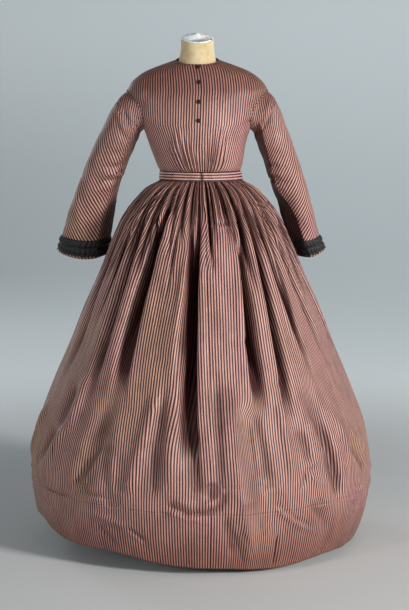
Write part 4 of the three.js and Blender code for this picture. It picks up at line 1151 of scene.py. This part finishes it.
crowding = (cloth_cut - cloth_used) / hollow_used
stretch_number = (angle[:, :, None] > middles[:, None, :]).sum(axis=2) - 1
stretch_number = np.clip(stretch_number, 0, len(cloth_cut) - 1)
start_cut = np.concatenate([[0], np.cumsum(cloth_cut)])[stretch_number]
start_run = np.take_along_axis(at_middles, stretch_number[None].repeat(2, axis=0), axis=2)
past = run - start_run
across = start_cut + past[0] + past[1] * np.take_along_axis(crowding, stretch_number, axis=1)
column_table = (fine + 0 * across).ravel()
across_table = (across + far).ravel()

# Each width's name, the angle it starts at, and the columns of its grid, close together in front.
SKIRT_WIDTHS = (
    ("right_front", 2, 168),
    ("right_side", 62, 86),
    ("right_back", 122, 80),
    ("left_back", 182, 80),
    ("left_side", 242, 86),
    ("left_front", 302, 168),
)
WIDTH_ANGLE = 60
CRUMPLE_DEGREE = 7.6  # mm round the skirt for each degree, at most, where crumples are strewn
radius = outline[0] * np.pi / 180
for name, start, columns in SKIRT_WIDTHS:
    trim = np.degrees(SEAM_GAP / 2 / outline[1])[:, None]
    ends = np.concatenate([start + trim, start + WIDTH_ANGLE - trim], axis=1)
    ends = np.interp(ends + far, (fine + far).ravel(), across.ravel())
    wanted = ends[:, :1] + (ends[:, 1:] - ends[:, :1]) * np.linspace(0, 1, columns)
    column = np.interp(wanted + far, across_table, column_table)
    points, angle, slack = skirt_surface(column, skirt_levels)
    middle = start + WIDTH_ANGLE / 2
    signed = turned_by(angle, middle)
    strewn = crumples(seed, 44, (-230, 230), (14, 330), 60, (18, 75), (0.7, 2.6), (3.5, 9))
    strewn += crumples(seed, 14, (-150, 150), (780, 900), 40, (8, 26), (0.8, 2.0), (2.5, 4))
    out = creased(signed * np.minimum(radius, CRUMPLE_DEGREE)[:, None], skirt_levels, strewn)
    # A crease is laid on each width that it touches or lies near.
    for a, low, b, high, height, wide in SKIRT_CREASES:
        a, b = turned_by(a, middle), turned_by(b, middle)
        if abs(b - a) < 90:
            degree = radius[int(np.argmin(np.abs(skirt_levels[:, 0] - low)))]
            row = (a, low, b, high, height, wide)
            out = out + creased(signed, skirt_levels, [row], (degree, 1))
    points = points + normals(points) * out[..., None]
    weave = together(wanted, up_skirt)
    # Painted shade in the beds of the folds, gathers and tucks and in the hollows of the creases,
    # given to the silk as a point attribute.
    shade = np.maximum(ramp(0.08, 0.95, slack), 0.5 * ramp(1, 8, -out))
    node = f"skirt_{name}"
    width = lined_silk(f"silk_width_{name}", points, weave, skirt_silk, node, hollow=shade)

# ---- Room
# A plain round studio floor that rises into a wall of grey cloth all round; away from the middle
# both give off painted glow. One soft light stands at the front right, and two weak ones at the
# front and back left.
room_paint, dye = new_finish("studio_grey")
place = dye.place()
x, y, z = (place.axis(k) for k in range(3))
cloudy = dye.noise(place, 0.6, 2.0)
# Paler in front and greyer towards the back, with painted shade at the left.
colour = dye.mix(y.step(-1.0, 5.0), paint(232, 234, 234), paint(182, 190, 194))
colour = dye.mix(x.step(2.5, -3.0) * 0.5, colour, paint(150, 156, 162))
colour = dye.mix(cloudy * 0.12, colour, paint(150, 150, 152))
# Painted glow: away from the middle, the floor and the wall give off light of their own, darker at
# the left and low down.
from_middle = dye.math("SQRT", x * x + y * y)
to_right = x.step(-2.5, 1.5)
low_glow = dye.mix(to_right, paint(140, 145, 146), paint(168, 176, 178))
high_glow = dye.mix(to_right, paint(170, 176, 178), paint(180, 187, 189))
glow = dye.mix(z.step(0.2, 1.6), low_glow, high_glow)
glow = dye.mix(from_middle.step(0.9, 2.6), paint(0, 0, 0), glow)
dye.connect(
    Base_Color=colour,
    Roughness=0.9 + cloudy * 0.05,
    Emission_Color=glow,
    Emission_Strength=0.61,
)
turn = np.linspace(0, 360, 96, endpoint=False)[None, :]
# Distance from the middle and height of each ring of the floor and the wall, in mm.
ROOM_PROFILE = (
    (40, 0), (3000, 0), (6000, 0), (8200, 0), (8900, 90), (9500, 380),
    (9900, 850), (10100, 1600), (10150, 2600), (10150, 4200), (10150, 6000),
)
distance, height = np.array(ROOM_PROFILE, float).T[..., None]
room_points = oval(turn, height, distance, distance, distance)
room = surface("studio_room", room_points, ring=True, turned=True)
room.data.materials.append(room_paint)
middle_points = np.stack([room_points[0], room_points[0] * 0.01])
floor_middle = surface("studio_floor_middle", middle_points, ring=True, ends=True, turned=True)
floor_middle.data.materials.append(room_paint)


def lamp(name, size, power, colour, at, target):
    """A square area light of a size in metres, aimed along the line from at to target."""
    data = bpy.data.lights.new(name, "AREA")
    data.size, data.energy, data.color = size, power, colour
    light = bpy.data.objects.new(name, data)
    light.location = at
    aim = np.subtract(target, at)
    away = np.hypot(aim[0], aim[1])
    light.rotation_euler = (np.pi / 2 + np.arctan2(aim[2], away), 0, np.arctan2(-aim[0], aim[1]))
    bpy.context.scene.collection.objects.link(light)


lamp("right_light", 1.05, 372, (1.0, 0.965, 0.93), (4.4, -4.0, 2.3), (0, 0, 0.6))
lamp("left_light", 0.8, 38, (1.0, 0.97, 0.94), (-3.2, -3.6, 1.6), (0, 0, 0.6))
lamp("back_light", 1.4, 34, (0.95, 0.98, 1.0), (-2.8, 3.6, 2.2), (0, 0, 0.6))
world = bpy.data.worlds.new("studio_air")
world.use_nodes = True
air = world.node_tree.nodes["Background"].inputs
air["Color"].default_value = paint(214, 222, 228)
air["Strength"].default_value = 0.12
bpy.context.scene.world = world
bpy.context.scene.view_settings.view_transform = "Standard"

# ---- Camera
# It stands 4.5 m in front of the dress, level with its neckline, and looks down a little.
camera_data = bpy.data.cameras.new("camera")
camera_data.lens = 105
camera = bpy.data.objects.new("camera", camera_data)
camera.location = (0.00885, -4.5, 1.21)
camera.rotation_euler = (np.radians(90 - 7.67), 0, 0)
bpy.context.scene.collection.objects.link(camera)
bpy.context.scene.camera = camera
